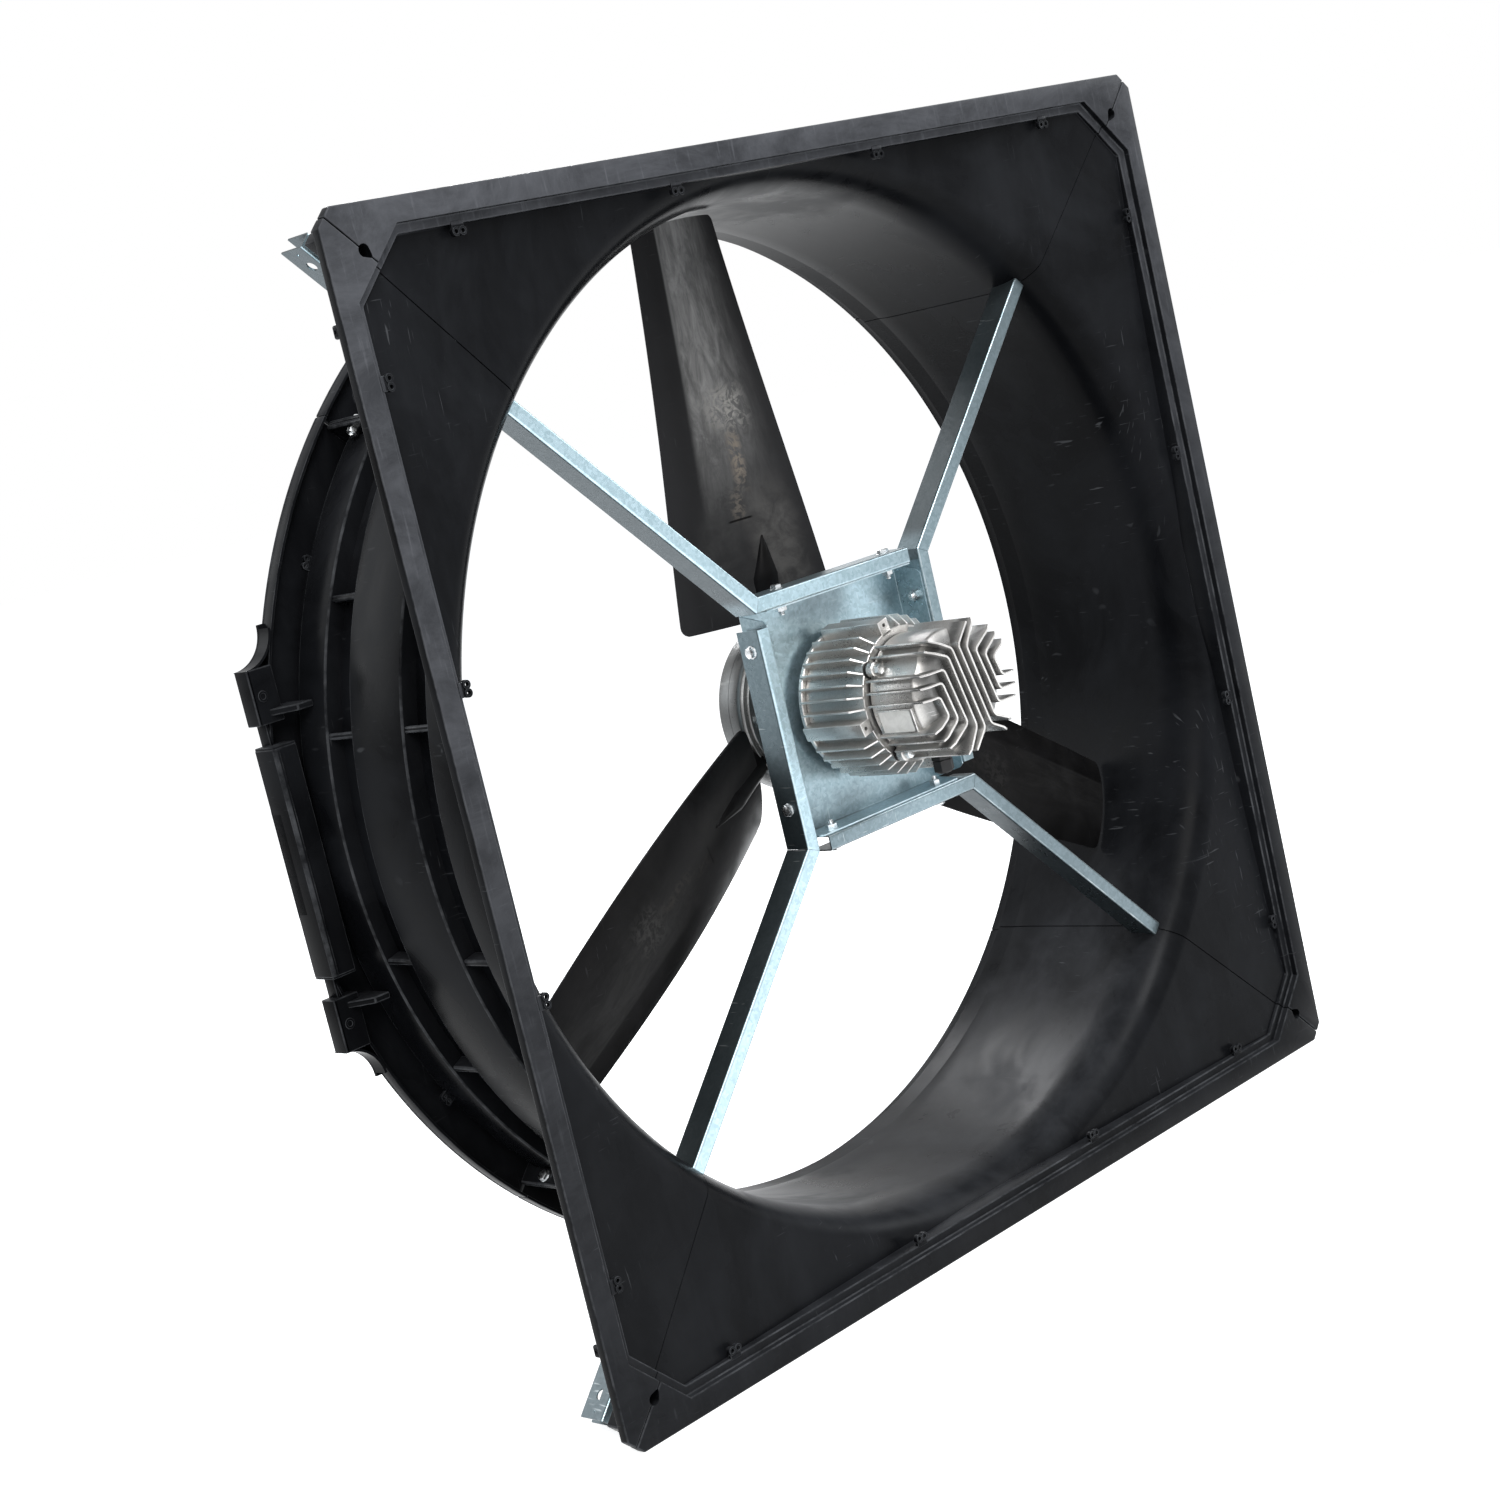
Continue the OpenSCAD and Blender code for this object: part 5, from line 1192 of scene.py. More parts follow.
def makeMotorPlate(s):
    plate = startPart()
    r, flat = 0.003, s["plateHalf"] - 0.003
    corners = [plate.verts.new((x * flat, s["plateBack"], z * flat))
               for x, z in ((-1, -1), (1, -1), (1, 1), (-1, 1))]
    bmesh.ops.inset_region(plate, faces=[plate.faces.new(corners)], thickness=0.0004)
    for edge in [e for e in plate.edges if len(e.link_faces) == 1]:
        middle = (edge.verts[0].co + edge.verts[1].co) / 2
        out = Vector((middle.x, 0, middle.z)).normalized()
        along = out.cross(Vector((0, 1, 0)))
        centre = Vector((0, s["plateBack"] - r, 0)) + out * flat
        swept = bmesh.ops.spin(plate, geom=[edge], axis=along, cent=centre, dvec=(0, 0, 0),
                               angle=math.radians(-90), steps=6, use_merge=False,
                               use_duplicate=False)["geom_last"]
        last = newEdges(swept)
        for y, half in ((s["plateBack"] - r - 0.0004, flat), (s["edgeY"] + 0.006, flat - 0.009),
                        (s["edgeY"], flat - 0.014)):
            grown = bmesh.ops.extrude_edge_only(plate, edges=last)["geom"]
            last = newEdges(grown)
            for vert in newVerts(grown):
                side = 1.0 if vert.co.dot(along) > 0 else -1.0
                vert.co = out * s["plateHalf"] + along * (side * half) + Vector((0, y, 0))
    faceOut(plate)
    if max(plate.faces, key=lambda f: f.calc_area()).normal.y < 0:
        bmesh.ops.reverse_faces(plate, faces=plate.faces)
    bmesh.ops.solidify(plate, geom=plate.faces[:], thickness=s["thick"])
    faceOut(plate)
    plate = cutHoles(plate, [at(0, 0.109, 0) @ facingFront], s["plateHole"], depth=0.01, sides=64)
    wearAndHighlight = plate.faces.layers.float["wearAndHighlight"]
    # the cut front edges get the rub colour, and the bends the rub colour as a painted highlight
    for face in plate.faces:
        cut = face.normal.y < -0.9 and face.calc_center_median().y < s["edgeY"] + 0.001
        face[wearAndHighlight] = 1.0 if cut or 0.3 < face.normal.y < 0.96 else 0.0
    done = startPart()
    joinPart(done, plate)
    finishPiece("motorPlate", done, "galvanisedSheet", "frame", "motor_plate", sharp=24.0)


# Fasteners


def lathe(profile, steps=24):
    # profile points are (radius, height) about the local Z axis, closed if it starts off the axis
    part = startPart()
    verts = [part.verts.new((r, 0.0, z)) for r, z in profile]
    edges = [part.edges.new(pair) for pair in zip(verts, verts[1:])]
    if profile[0][0] > 0:
        edges.append(part.edges.new((verts[-1], verts[0])))
    bmesh.ops.spin(part, geom=verts + edges, axis=(0, 0, 1), cent=(0, 0, 0), dvec=(0, 0, 0),
                   angle=math.radians(360), steps=steps, use_merge=True, use_duplicate=False)
    bmesh.ops.remove_doubles(part, verts=part.verts, dist=1e-6)
    faceOut(part)
    return part


def threadProfile(radius, start, end, pitch=0.00125):
    line, z, deep = [], start, pitch * 0.5
    while z > end:
        line += [(radius, z), (radius - deep, z - pitch * 0.5)]
        z -= pitch
    return line


# shares of a head's width across its flats, and the slope of its turned corners
headShape = {"flat": 0.462, "inset": 0.03, "edge": 0.016, "slope": 0.55}


def hexHead(part, across, low, high):
    head, flatR = startPart(), across * headShape["flat"]
    corner = across / math.sqrt(3)
    bmesh.ops.create_cone(head, cap_ends=True, segments=6, radius1=corner, radius2=corner, depth=high - low)
    bmesh.ops.translate(head, verts=head.verts, vec=(0, 0, (high + low) / 2))
    level = [e for e in head.edges if abs(e.verts[0].co.z - e.verts[1].co.z) < 1e-6]
    bmesh.ops.subdivide_edges(head, edges=level, cuts=7)
    top = [f for f in head.faces if f.normal.z > 0.5]
    bmesh.ops.inset_region(head, faces=top, thickness=across * headShape["inset"], depth=0.0,
                           use_even_offset=True)
    # a round flat on top; outside it the corners are turned down to a cone
    flat = set(v for f in top for v in f.verts)
    for vert in head.verts:
        if vert in flat:
            around = vert.co.xy.normalized() * flatR
            vert.co.x, vert.co.y = around.x, around.y
        elif vert.co.z > high - 1e-6:
            vert.co.z -= (vert.co.xy.length - flatR) * headShape["slope"]
    upright = [e for e in head.edges if abs(e.verts[0].co.z - e.verts[1].co.z) > (high - low) * 0.4
               and e.verts[0].co.xy.length > corner * 0.97]
    softenEdges(head, upright, across * headShape["edge"], 2)
    joinPart(part, head)


def hexBolt(across, headHigh, shank, length, collar=0.475):
    bolt = startPart()
    hexHead(bolt, across, 0.0005, headHigh)
    reach = across * collar
    joinPart(bolt, lathe([(0, 0.0009), (reach - 0.0004, 0.0009), (reach, 0.0006), (reach, 0.0), (shank, 0.0)] +
                         threadProfile(shank, -length * 0.35, -length + 0.001) +
                         [(shank * 0.8, -length), (0, -length)]))
    return bolt


def hexNut(across, high, bore):
    nut = startPart()
    hexHead(nut, across, 0.0, high)
    joinPart(nut, lathe([(bore * 1.02, high + 0.00005), (across * 0.44, high + 0.00005), (across * 0.44, 0.0),
                         (bore * 1.02, 0.0)]))
    return nut


fasteners = {
    "across": 0.013, "head": 0.0053, "shank": 0.004, "nut": 0.0065,
    "seamStack": 0.0064, "seamBack": (0.674, 0.325), "seamFront": (0.780, 0.0445),
    "legOut": 0.165, "collar": 0.64, "headCollar": 0.475,
    "seamLength": 0.0223, "plateLength": 0.0335, "motorLength": 0.017, "hubLength": 0.0611,
    "hubY": 0.1787, "hubBack": 0.2303, "hubR": 0.088, "hubTurn": 29.0,
}


def makeBoltSet(f, group, body, length, collar, places, nutPlaces):
    bolts, nuts = startPart(), startPart()
    joinPart(bolts, hexBolt(f["across"], f["head"], f["shank"], length, collar), *places)
    joinPart(nuts, hexNut(f["across"], f["nut"], f["shank"]), *nutPlaces)
    finishPiece(group + "Bolts", bolts, "zincFasteners", body, group + "_bolts")
    finishPiece(group + "Nuts", nuts, "zincFasteners", body, group + "_nuts")


def makeFasteners(f, s):
    upsideDown = Matrix.Rotation(math.pi, 4, "X")
    places, nutPlaces = [], []
    for number in range(4):
        for out, y in (f["seamBack"], f["seamFront"]):
            seat = turnY(90.0 * number - 45.0) @ at(0, y, out) @ facingRight
            places.append(seat @ at(0, 0, f["seamStack"]) @ Matrix.Rotation(0.3 + number, 4, "Z"))
            nutPlaces.append(seat @ at(0, 0, -f["seamStack"]) @ upsideDown)
    makeBoltSet(f, "seam", "frame", f["seamLength"], f["collar"], places, nutPlaces)
    places, nutPlaces = [], []
    for number in range(4):
        for side in (-1, 1):
            seat = turnY(90.0 * number) @ at(side * s["boltX"], s["boltY"], 0)
            turn = Matrix.Rotation(0.5 * number + 0.8 * side, 4, "Z")
            places.append(seat @ at(0, 0, f["legOut"]) @ turn)
            nutPlaces.append(seat @ at(0, 0, s["plateHalf"] - s["thick"]) @ upsideDown @ turn)
    makeBoltSet(f, "plate", "frame", f["plateLength"], f["collar"], places, nutPlaces)
    screws = startPart()
    joinPart(screws, hexBolt(f["across"], f["head"], f["shank"], f["motorLength"], f["headCollar"]),
             *[turnY(a) @ at(0, s["plateBack"], s["motorBolt"]) @ facingRear for a in (45, 135, 225, 315)])
    finishPiece("motorScrews", screws, "zincFasteners", "frame", "motor_screws")
    spots = [turnY(120.0 * n + side * f["hubTurn"]) for n in range(3) for side in (-1, 1)]
    places = [spot @ at(0, f["hubY"], f["hubR"]) @ facingFront for spot in spots]
    nutPlaces = [spot @ at(0, f["hubBack"], f["hubR"]) @ facingRear for spot in spots]
    makeBoltSet(f, "hub", "impeller", f["hubLength"], f["headCollar"], places, nutPlaces)


makeStruts(sheet)
makeMotorPlate(sheet)
makeFasteners(fasteners, sheet)
print("struts, motor plate and fasteners are made")


# Motor shell

motor = {
    "bore": 0.076, "root": 0.085, "tip": 0.100, "front": -0.010, "back": 0.090,
    "columnTurn": 193.0, "finStart": (14.0, 17.0), "finStep": 9.6, "fins": 7,
    "finHalf": 0.0012, "rootHalf": 0.0021, "shaftHole": 0.022,
    "columnHalf": 0.009, "columnTip": 0.101, "screwR": 0.094, "screwHole": 0.0025, "screwDeep": 0.022,
    "collar": 0.092, "collarEnd": 0.097, "spigot": 0.066, "plate": 0.108,
    "bossPlace": 0.080, "bossR": 0.010, "bossTurn": -55.0,
}


def aroundY(degrees):
    # an angle counted from +X towards +Z, as a turn of the piece that stands on +Z
    return turnY(90.0 - degrees)


def bossPlaces(m):
    return [turnY(a + m["bossTurn"]) @ at(0, 0, m["bossPlace"]) for a in (0, 90, 180, 270)]


def makeFin(m):
    fin = startPart()
    outline = [(m["front"], m["root"] - 0.003), (m["front"], m["root"] + 0.002), (0.005, m["tip"]),
               (m["back"] - 0.003, m["tip"]), (m["back"], m["tip"] - 0.003), (m["back"], m["root"] - 0.003)]
    face = fin.faces.new([fin.verts.new((m["finHalf"], y, r)) for y, r in outline])
    grown = bmesh.ops.extrude_face_region(fin, geom=[face])["geom"]
    for vert in newVerts(grown):
        vert.co.x = -m["finHalf"]
    for vert in fin.verts:
        if vert.co.z < m["root"]:
            # cast draft: the fin is thicker at its root
            vert.co.x *= m["rootHalf"] / m["finHalf"]
    faceOut(fin)
    tips = [e for e in hardEdges(fin, 0.5) if min(v.co.z for v in e.verts) > m["root"] + 0.001]
    softenEdges(fin, tips, 0.0006, 2)
    return fin


def makeColumn(m):
    column = startPart()
    addBlock(column, (-m["columnHalf"], m["front"], m["root"] - 0.004),
             (m["columnHalf"], m["back"], m["columnTip"]), 0.0011, 2)
    lay = at(0, m["front"], m["screwR"]) @ facingFront
    column = cutHoles(column, [lay], m["screwHole"], depth=m["screwDeep"], sides=24)
    return column


def makeMotorBody(m):
    body, tube = startPart(), startPart()
    profile = [(m["bore"], m["front"]), (m["root"] - 0.0006, m["front"]), (m["root"], m["front"] + 0.0008),
               (m["root"], m["back"] - 0.001), (m["root"] - 0.001, m["back"]), (m["bore"], m["back"])]
    addSpun(tube, profile, 0, 360, 120)
    joinPart(body, tube)
    fin = makeFin(m)
    places = [aroundY(m["columnTurn"] - 90 * q - m["finStart"][q % 2] - m["finStep"] * i)
              for q in range(4) for i in range(m["fins"])]
    joinPart(body, fin, *places)
    joinPart(body, makeColumn(m), *[aroundY(m["columnTurn"] - 90 * q) for q in range(4)])
    boss = lathe([(0, m["front"]), (m["bossR"], m["front"]), (m["bossR"], 0.0025), (m["bossR"] - 0.0015, 0.004),
                  (0, 0.004)], 40)
    joinPart(body, boss, *[spot @ facingRear for spot in bossPlaces(m)])
    finishPiece("motorBody", body, "castAluminium", "frame", "motor_body", sharp=30.0)
    shield = startPart()
    profile = [(m["shaftHole"], m["back"] - 0.004), (m["bore"] - 0.0001, m["back"] - 0.004),
               (m["bore"] - 0.0001, m["back"]), (m["collar"] - 0.0012, m["back"]),
               (m["collar"], m["back"] + 0.0012), (m["collar"], m["collarEnd"] - 0.0015),
               (m["collar"] - 0.0015, m["collarEnd"]), (m["spigot"] + 0.002, m["collarEnd"]),
               (m["spigot"], m["collarEnd"] + 0.002), (m["spigot"], m["plate"] - 0.0008),
               (m["spigot"] - 0.0008, m["plate"]), (m["shaftHole"], m["plate"])]
    addSpun(shield, profile, 0, 360, 120)
    finishPiece("rearShield", shield, "castAluminium", "frame", "rear_shield", sharp=30.0)


# Electronics cap in the motor's nose

cap = {
    "tip": -0.112, "face": -0.098, "back": -0.013, "outer": 0.076, "wall": 0.004, "chamfer": 0.016,
    "ribHalf": 0.0013, "ribBack": -0.016, "limit": 0.088, "limitTip": 0.076, "limitY": -0.106, "middleZ": 0.002,
    "ribs": [
        [(-0.086, 0.0015), (-0.0596, 0.0015), (-0.0506, -0.025), (-0.077, -0.040)],
        [(-0.085, 0.017), (-0.0504, 0.017), (-0.0362, -0.032), (-0.066, -0.052)],
        [(-0.084, 0.032), (-0.0423, 0.0315), (-0.021, -0.041), (-0.0575, -0.063)],
        [(-0.0705, 0.061), (-0.030, 0.044), (-0.0062, -0.0485), (-0.0285, -0.079)],
        [(-0.059, 0.072), (-0.0205, 0.0525), (0.008, -0.0535), (-0.015, -0.077)],
    ],
    # across the flats, head, shank radius and length
    "screw": (0.012, 0.0072, 0.003, 0.027),
    "boltSeat": -0.025, "bossR": 0.0095, "flat": 0.0736, "ribBend": 0.004, "shellReach": 0.079,
    "glandY": -0.037, "glandBoss": 0.016, "glandLow": -0.078, "glandBore": 0.006,
    # across the flats, height, and where it stands
    "glandBody": (0.024, 0.008, -0.086), "glandNut": (0.023, 0.0145, -0.101),
    "padX": -0.079, "padLow": (-0.0785, -0.02275), "padHigh": (-0.0185, 0.00875), "padTurn": -9.0,
    "plateLow": (-0.0745, -0.02125), "plateHigh": (-0.0225, 0.00725),
}


def trimToCircle(inside, outside, radius):
    # moves the outer end of a rib back onto the limit circle
    while outside.length > radius:
        outside = outside + (inside - outside).normalized() * 0.0003
    return outside


def shiftLine(points, distance):
    # the same path, moved sideways with its corners mitred
    sides = [Vector((b - a).normalized().yx) * Vector((1, -1)) for a, b in zip(points, points[1:])]
    moved = []
    for place, first, second in zip(points, sides[:1] + sides, sides + sides[-1:]):
        both = first + second
        moved.append(place + both * (2 * distance / both.length_squared))
    return moved


def makeRib(c, line):
    points = [Vector((x, z + c["middleZ"])) for x, z in line]
    points[0] = trimToCircle(points[1], points[0], c["limit"])
    points[-1] = trimToCircle(points[-2], points[-1], c["limit"])
    rib = startPart()
    ring = [rib.verts.new((p.x, c["tip"], p.y)) for p in shiftLine(points, c["ribHalf"])]
    for pair in zip(ring, ring[1:]):
        rib.edges.new(pair)
    # round the two bends a little, then draw the wall back and thicken it
    bmesh.ops.bevel(rib, geom=ring[1:-1], offset=c["ribBend"], offset_type="OFFSET", segments=3, profile=0.5,
                    affect="VERTICES", clamp_overlap=True, material=-1)
    grown = bmesh.ops.extrude_edge_only(rib, edges=rib.edges[:])["geom"]
    for vert in newVerts(grown):
        vert.co.y = c["ribBack"]
    faceOut(rib)
    side = Vector((points[1] - points[0]).normalized().yx) * Vector((1, -1))
    first = min(rib.faces, key=lambda f: (f.calc_center_median().xz - points[0]).length)
    if first.normal.x * side.x + first.normal.z * side.y < 0:
        bmesh.ops.reverse_faces(rib, faces=rib.faces)
    rib.normal_update()
    bmesh.ops.solidify(rib, geom=rib.faces[:], thickness=c["ribHalf"] * 2)
    faceOut(rib)
    slope = math.atan2(c["limitY"] - c["tip"], c["limit"] - c["limitTip"])
    for end in (points[0], points[-1]):
        out = Vector((end.x, 0, end.y)).normalized()
        normal = out * math.sin(slope) + Vector((0, -math.cos(slope), 0))
        cutOff(rib, out * c["limit"] + Vector((0, c["limitY"], 0)), normal)
    faceOut(rib)
    # the tips are thinner than the roots, as cast, and rubbed bright
    crown = [e for e in hardEdges(rib, 0.5) if max(v.co.y for v in e.verts) < c["ribBack"] - 0.004
             or min(v.co.xz.length for v in e.verts) > c["shellReach"]]
    softenEdges(rib, crown, 0.00055, 2)
    return rib


def makeCap(c, m):
    outer, face, chamfer = c["outer"], c["face"], c["chamfer"]
    shell = startPart()
    inside = outer - c["wall"]
    turned = lathe([(0, face), (outer - chamfer - 0.004, face), (outer - chamfer - 0.001, face + 0.0004),
                    (outer - chamfer + 0.002, face + 0.002), (outer - 0.0025, face + chamfer - 0.003),
                    (outer - 0.0008, face + chamfer - 0.0006), (outer, face + chamfer + 0.003),
                    (outer, c["back"] - 0.0006), (outer - 0.0006, c["back"]), (inside, c["back"]),
                    (inside, face + chamfer + 0.002), (inside - chamfer + 0.002, face + c["wall"]),
                    (0, face + c["wall"])], 144)
    joinPart(shell, turned, facingRear)
    # a flat in front of each bolt makes room for its head
    flats = startPart()
    for spot in bossPlaces(m):
        flat = startPart()
        addBlock(flat, (-0.03, c["face"] - 0.01, c["flat"] - m["bossPlace"]), (0.03, c["boltSeat"], 0.02), 0.0)
        joinPart(flats, flat, spot)
    shell = takeAway(shell, flats)
    boss = lathe([(0, c["boltSeat"]), (c["bossR"] - 0.0015, c["boltSeat"]), (c["bossR"], c["boltSeat"] + 0.0015),
                  (c["bossR"], c["back"] - 0.0022), (c["bossR"] - 0.0004, c["back"] - 0.0018),
                  (0, c["back"] - 0.0018)], 40)
    joinPart(shell, boss, *[spot @ facingRear for spot in bossPlaces(m)])
    ribs, hollow = startPart(), startPart()
    for half in (0, 180):
        for line in c["ribs"]:
            joinPart(ribs, makeRib(c, line), at(0, 0, c["middleZ"]) @ turnY(half) @ at(0, 0, -c["middleZ"]))
    turned = lathe([(0, face + c["wall"]), (inside - chamfer + 0.002, face + c["wall"]),
                    (inside, face + chamfer + 0.002), (inside, 0.0), (0, 0.0)], 72)
    joinPart(hollow, turned, facingRear)
    joinPart(shell, takeAway(ribs, hollow))
    pad = startPart()
    addBlock(pad, (c["padX"], c["padLow"][0], c["padLow"][1]),
             (c["padX"] + 0.016, c["padHigh"][0], c["padHigh"][1]), 0.0012, 3)
    pocket = startPart()
    addBlock(pocket, (c["padX"] - 0.002, c["plateLow"][0], c["plateLow"][1]),
             (c["padX"] + 0.001, c["plateHigh"][0], c["plateHigh"][1]), 0.0)
    joinPart(shell, takeAway(pad, pocket), turnY(c["padTurn"]))
    neck = lathe([(0, c["glandLow"]), (c["glandBoss"] - 0.0012, c["glandLow"]),
                  (c["glandBoss"], c["glandLow"] + 0.0012), (c["glandBoss"], -0.068), (0, -0.066)], 48)
    joinPart(shell, neck, at(0, c["glandY"], 0))
    finishPiece("electronicsCap", shell, "castAluminium", "frame", "electronics_cap", sharp=30.0)
    plate = startPart()
    addBlock(plate, (c["padX"] + 0.0004, c["plateLow"][0] + 0.0003, c["plateLow"][1] + 0.0003),
             (c["padX"] + 0.001, c["plateHigh"][0] - 0.0003, c["plateHigh"][1] - 0.0003), 0.0)
    corners = [e for e in plate.edges if abs(e.verts[0].co.x - e.verts[1].co.x) > 0.0003]
    softenEdges(plate, corners, 0.0022, 4)
    softenEdges(plate, hardEdges(plate, 0.9), 0.00012, 1)
    done = startPart()
    joinPart(done, plate, turnY(c["padTurn"]))
    finishPiece("ratingPlate", done, "plateFoil", "frame", "rating_plate")
    screws = startPart()
    joinPart(screws, hexBolt(*c["screw"]),
             *[spot @ at(0, c["boltSeat"], 0) @ facingFront @ Matrix.Rotation(0.4 * n, 4, "Z")
               for n, spot in enumerate(bossPlaces(m))])
    finishPiece("capScrews", screws, "zincFasteners", "frame", "cap_screws")


def makeGland(c):
    body, nut, stand, bore = startPart(), startPart(), at(0, c["glandY"], 0), c["glandBore"]
    across, high, foot = c["glandBody"]
    hexHead(body, across, 0.0, high)
    stem = lathe([(bore, 0.0), (0.0118, 0.0), (0.0118, 0.0002), (0.0092, -0.0002)] +
                 threadProfile(0.009, -0.0004, -0.0078) + [(bore, -0.008)], 40)
    joinPart(body, stem)
    done = startPart()
    joinPart(done, body, stand @ at(0, 0, foot))
    finishPiece("cableGland", done, "glandPlastic", "frame", "cable_gland")
    across, high, foot = c["glandNut"]
    hexHead(nut, across, 0.0, high)
    joinPart(nut, lathe([(bore, -0.003), (0.0072, -0.003), (0.0084, -0.0027), (0.0098, -0.0016), (0.0108, 0.0),
                         (0.0108, 0.003), (bore, 0.003)], 48))
    joinPart(nut, lathe([(0.0091, high), (0.0106, high), (0.0106, high + 0.0005), (0.0091, high + 0.0005)], 48))
    # fine grip lines round the nut
    grips = startPart()
    addBlock(grips, (-0.00045, -0.0117, 0.0018), (0.00045, -0.0108, 0.0118), 0.0003, 1)
    turns = [60 * n + s * 9 for n in range(6) for s in (-1, 0, 1)]
    joinPart(nut, grips, *[Matrix.Rotation(math.radians(turn), 4, "Z") for turn in turns])
    done = startPart()
    joinPart(done, nut, stand @ at(0, 0, foot))
    finishPiece("glandNut", done, "glandPlastic", "frame", "gland_nut")


makeMotorBody(motor)
makeCap(cap, motor)
makeGland(cap)
print("motor, cap and gland are made")


# Impeller: cast hub halves, blades, shaft screw

impeller = {
    "mid": 0.205, "gap": 0.0003, "front": 0.1757, "back": 0.2343, "outer": 0.110, "bore": 0.014,
    "pocket": (0.044, 0.0765), "pocketHalf": 27.0, "pocketDeep": 0.020,
    "socket": 0.0241, "shank": 0.024, "collar": 0.029, "collarFrom": 0.052, "collarTo": 0.062, "shankIn": 0.034,
    "rootR": 0.155, "rootFlat": 0.118, "tipR": 0.633, "rootChord": 0.208, "tipChord": 0.130,
    "rootPitch": 31.6, "tipPitch": 6.6,
    "coneFrom": 0.172, "coneTip": 0.2235, "coneLean": 0.020,
    "rootBack": 0.007, "rootThick": 0.009, "tipThick": 0.005, "camber": 0.045, "shift": -0.0165,
    "creaseAcross": 0.26, "creaseLean": 0.05, "creaseFrom": 0.45, "creaseFade": 0.4,
    "twistPower": 1.7, "edgeThin": 0.25, "bowPower": 0.45, "forward": 0.003,
    # width of the rounded corners across, and their depth along at the root and at the tip
    "cornerWide": 0.055, "rootCorner": 0.022, "tipCorner": 0.016,
    "washerR": 0.024, "washerY": (0.2383, 0.2423), "washerHole": 0.0053,
    # across the flats, head, shank radius and length
    "shaftBolt": (0.016, 0.0064, 0.005, 0.026),
    # how much soil and painted sheen each blade carries
    "soilsAndSheens": (1.0, 0.04, 0.08),
}


def bladePoint(h, across, along, side):
    # across runs from the rear edge to the front edge, along from root to tip
    chord = h["rootChord"] + (h["tipChord"] - h["rootChord"]) * along
    pitch = math.radians(h["tipPitch"] + (h["rootPitch"] - h["tipPitch"]) * (1 - along) ** h["twistPower"])
    thick = h["rootThick"] + (h["tipThick"] - h["rootThick"]) * along
    bow = 4 * across * (1 - across)
    off = -h["camber"] * chord * bow + side * thick / 2 * max(bow ** h["bowPower"], h["edgeThin"])
    # the rear edge leans back outside a soft crease that fades towards the root
    fade = min(max((along - h["creaseFrom"]) / h["creaseFade"], 0.0), 1.0)
    off += h["creaseLean"] * fade * max(h["creaseAcross"] - across, 0.0) * chord
    step = (across - 0.5) * chord
    u = h["shift"] + step * math.cos(pitch) + off * math.sin(pitch)
    w = h["mid"] + h["rootBack"] * (1 - along) ** 2 - h["forward"]
    w = w - step * math.sin(pitch) + off * math.cos(pitch)
    radius = h["rootR"] + (h["tipR"] - h["rootR"]) * along
    # the tip follows the duct, the root's edge is straight
    high = math.sqrt(radius * radius - u * u)
    high -= (math.sqrt(h["rootR"] ** 2 - u * u) - h["rootFlat"]) * (1 - along) ** 4
    return Vector((u, w, high))


def startBladePart():
    part = startPart()
    for name in ("across", "along", "soilAndSheen"):
        part.verts.layers.float.new(name)
    return part


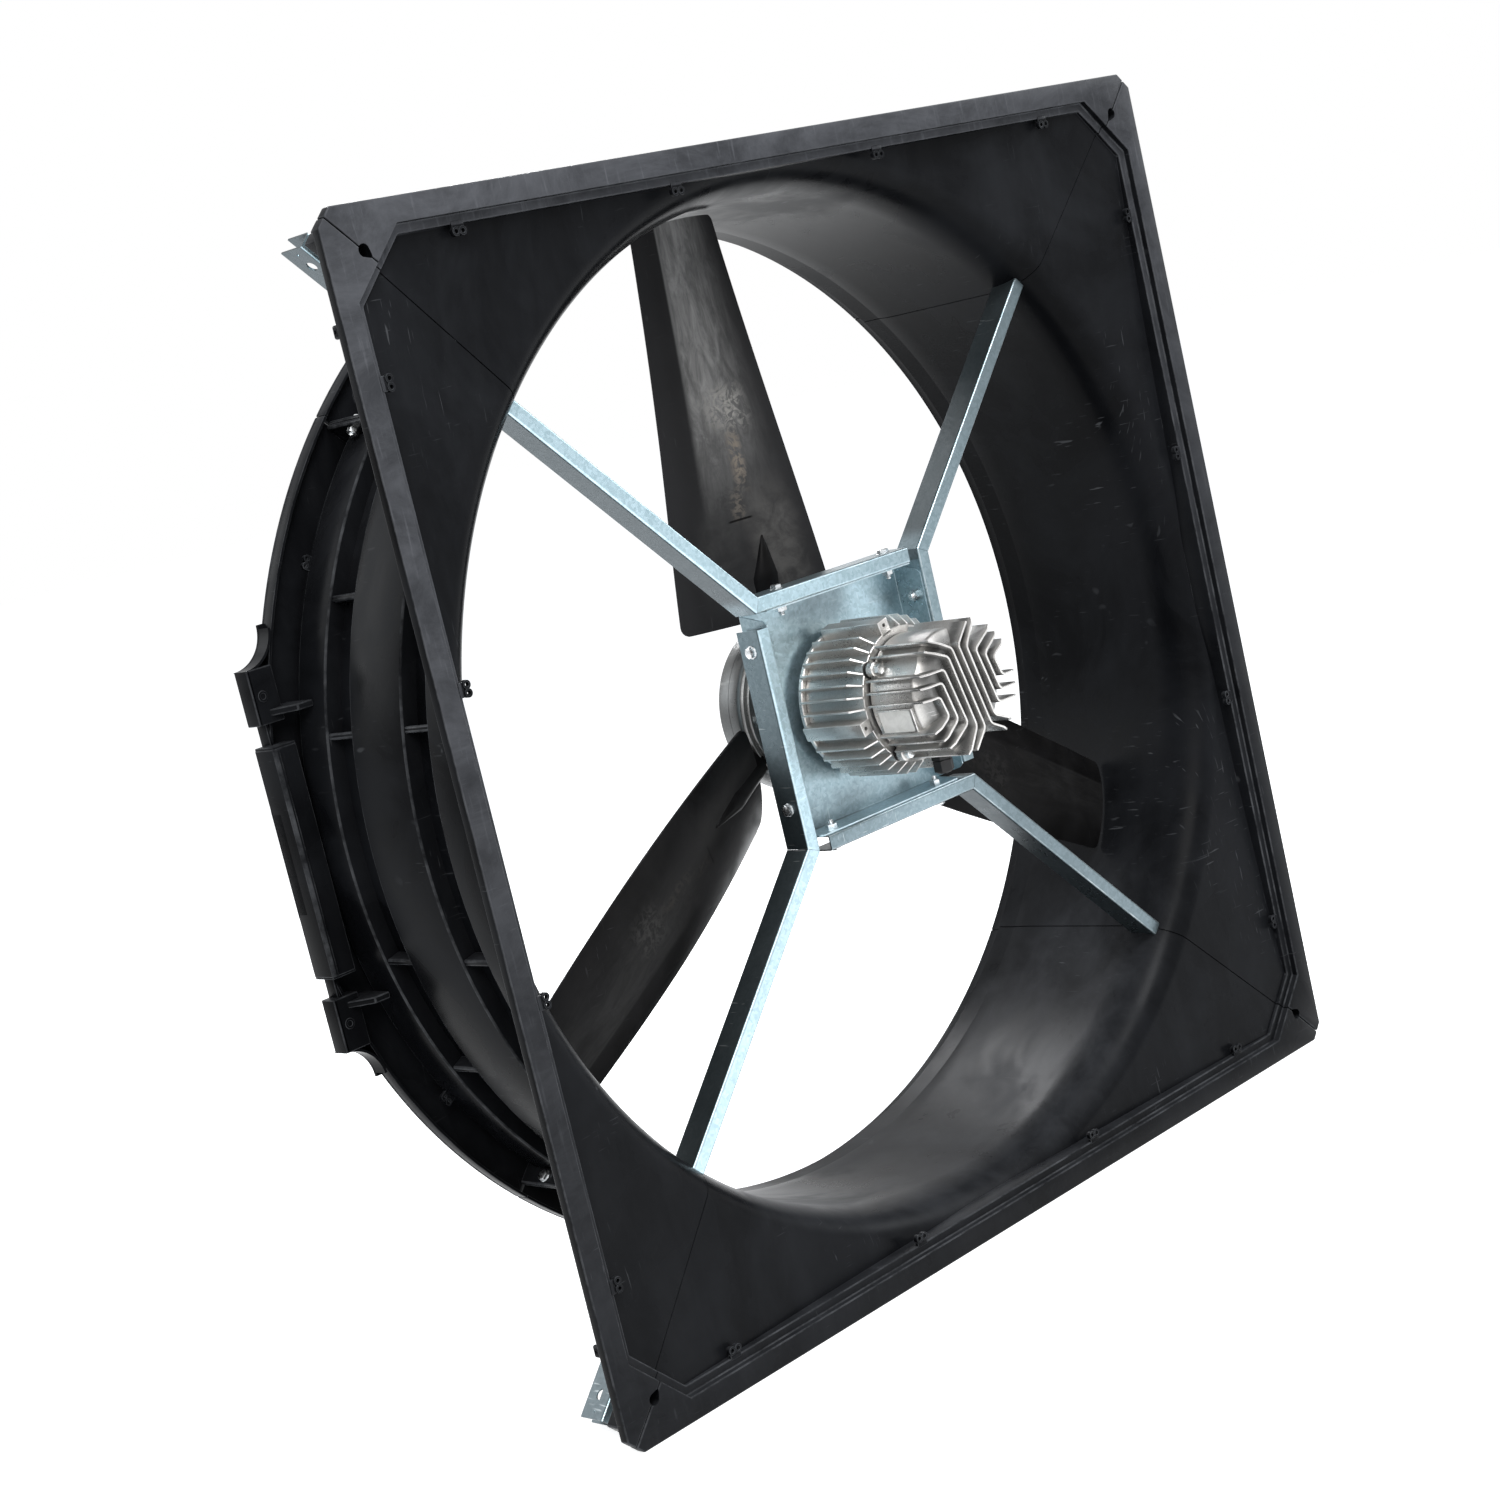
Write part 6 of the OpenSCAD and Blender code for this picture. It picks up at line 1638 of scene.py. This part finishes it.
def makeBlade(h, soilAndSheen):
    blade = startBladePart()
    across, along, soilAndSheenLayer = (blade.verts.layers.float[name] for name in ("across", "along", "soilAndSheen"))
    bmesh.ops.create_grid(blade, x_segments=30, y_segments=56, size=0.5)
    bmesh.ops.translate(blade, verts=blade.verts, vec=(0.5, 0.5, 0.0))
    pullFaces(blade, blade.faces[:], (0, 0, 1))
    for vert in blade.verts:
        x, t, side = vert.co.x, vert.co.y, vert.co.z * 2 - 1
        c = 0.5 - 0.5 * math.cos(math.pi * x)
        # quarter-round corners at the root and the tip
        edge = min(c, 1 - c)
        inset = max(h["cornerWide"] - edge, 0.0) / h["cornerWide"]
        draw = 1 - math.sqrt(max(1 - inset * inset, 0.0))
        t = t + draw * (h["rootCorner"] * (1 - t) ** 8 - h["tipCorner"] * t ** 10)
        vert[across], vert[along], vert[soilAndSheenLayer] = c, t, soilAndSheen
        vert.co = bladePoint(h, c, t, side)
    faceOut(blade)
    wearAndHighlight = blade.faces.layers.float["wearAndHighlight"]
    for face in blade.faces:
        around = sum(v[across] for v in face.verts) / len(face.verts)
        face[wearAndHighlight] = 1.0 if around < 0.004 or around > 0.996 else 0.0
    shank = startBladePart()
    r, root = h["shank"], h["rootR"]
    turned = lathe([(0, h["shankIn"]), (r, h["shankIn"]), (r, h["collarFrom"]),
                    (h["collar"] - 0.001, h["collarFrom"]), (h["collar"], h["collarFrom"] + 0.001),
                    (h["collar"], h["collarTo"] - 0.001), (h["collar"] - 0.001, h["collarTo"]),
                    (r, h["collarTo"]), (r, root - 0.006), (0, root - 0.006)], 64)
    joinPart(shank, turned)
    cone = startBladePart()
    start, point = h["coneFrom"], h["coneTip"]
    turned = lathe([(0, root - 0.01), (r - 0.0002, root - 0.01), (r - 0.0002, start - 0.006),
                    (r - 0.0012, start - 0.001), (r - 0.0042, start + 0.006), (0.0011, point - 0.001),
                    (0, point)], 64)
    joinPart(cone, turned)
    # two thin seams run up the cone to its point
    slope = math.atan2(r - 0.0042, point - start - 0.006)
    for turn in (-1.5, 0.62):
        seam = startBladePart()
        addBlock(seam, (-0.0008, -0.0007, 0.0), (0.0008, 0.0012, 0.0455), 0.0006, 2)
        joinPart(cone, seam, Matrix.Rotation(turn, 4, "Z") @ at(0, 0.0042 - r, start + 0.006) @
                 Matrix.Rotation(-slope, 4, "X"))
    for vert in cone.verts:
        # the point leans forward onto the blade's face
        rise = max(vert.co.z - start + 0.01, 0.0) / (point - start + 0.01)
        vert.co.y -= h["coneLean"] * rise
    joinPart(shank, cone)
    joinPart(blade, shank, at(0, h["mid"], 0))
    return blade


def makeImpeller(h):
    for number, soilAndSheen in enumerate(h["soilsAndSheens"]):
        blade, label = makeBlade(h, soilAndSheen), str(number + 1)
        bmesh.ops.transform(blade, matrix=turnY(120.0 * number), verts=blade.verts)
        finishPiece("blade" + label, blade, "bladePlastic", "impeller", "blade_" + label, sharp=38.0)
    outer, front, back, mid, gap = h["outer"], h["front"], h["back"], h["mid"], h["gap"]
    profiles = {
        "hubFront": [
            (h["bore"], front), (0.0335, front), (0.0345, front + 0.0003), (0.0398, front + 0.0028),
            (0.041, front + 0.003), (0.0974, front + 0.003), (0.098, front + 0.0024), (0.0984, front),
            (0.1016, front), (0.102, front + 0.0004), (0.102, front + 0.006), (0.1056, front + 0.006),
            (0.106, front + 0.0064), (0.106, front + 0.012), (0.1096, front + 0.0138), (outer, front + 0.0145),
            (outer, mid - gap), (h["bore"], mid - gap)],
        "hubRear": [
            (h["bore"], mid + gap), (outer, mid + gap), (outer, back - 0.0125), (outer - 0.0004, back - 0.0116),
            (0.1025, back - 0.0044), (0.1015, back - 0.004), (0.041, back - 0.004), (0.040, back - 0.0038),
            (0.0345, back - 0.0002), (0.034, back), (h["bore"], back)],
    }
    sockets = [turnY(120.0 * n) @ at(0, mid, 0.08) for n in range(3)]
    for name, profile in profiles.items():
        half = startPart()
        joinPart(half, lathe(profile, 120), facingRear)
        half = cutHoles(half, sockets, h["socket"], depth=0.09, sides=48)
        low = front - 0.001 if name == "hubFront" else back - h["pocketDeep"]
        top, (inner, rim) = low + h["pocketDeep"] + 0.001, h["pocket"]
        cutter = startPart()
        for middle in (60.0, 180.0, 300.0):
            pocket = startPart()
            addSpun(pocket, [(inner, low), (rim, low), (rim, top), (inner, top)],
                    middle - h["pocketHalf"], middle + h["pocketHalf"], 20)
            bmesh.ops.holes_fill(pocket, edges=[e for e in pocket.edges if len(e.link_faces) == 1], sides=0)
            joinPart(cutter, pocket)
        half = takeAway(half, cutter)
        finishPiece(name, half, "castAluminium", "impeller", "hub_" + name[3:].lower(), sharp=30.0)
    washer = startPart()
    (low, high), r, hole = h["washerY"], h["washerR"], h["washerHole"]
    turned = lathe([(hole, low), (r - 0.0005, low), (r, low + 0.0005), (r, high - 0.0005), (r - 0.0005, high),
                    (hole, high)], 64)
    joinPart(washer, turned, facingRear)
    finishPiece("shaftWasher", washer, "zincFasteners", "impeller", "shaft_washer")
    screw = startPart()
    joinPart(screw, hexBolt(*h["shaftBolt"]), at(0, high, 0) @ facingRear)
    finishPiece("shaftBolt", screw, "zincFasteners", "impeller", "shaft_bolt")


makeImpeller(impeller)
print("impeller is made")
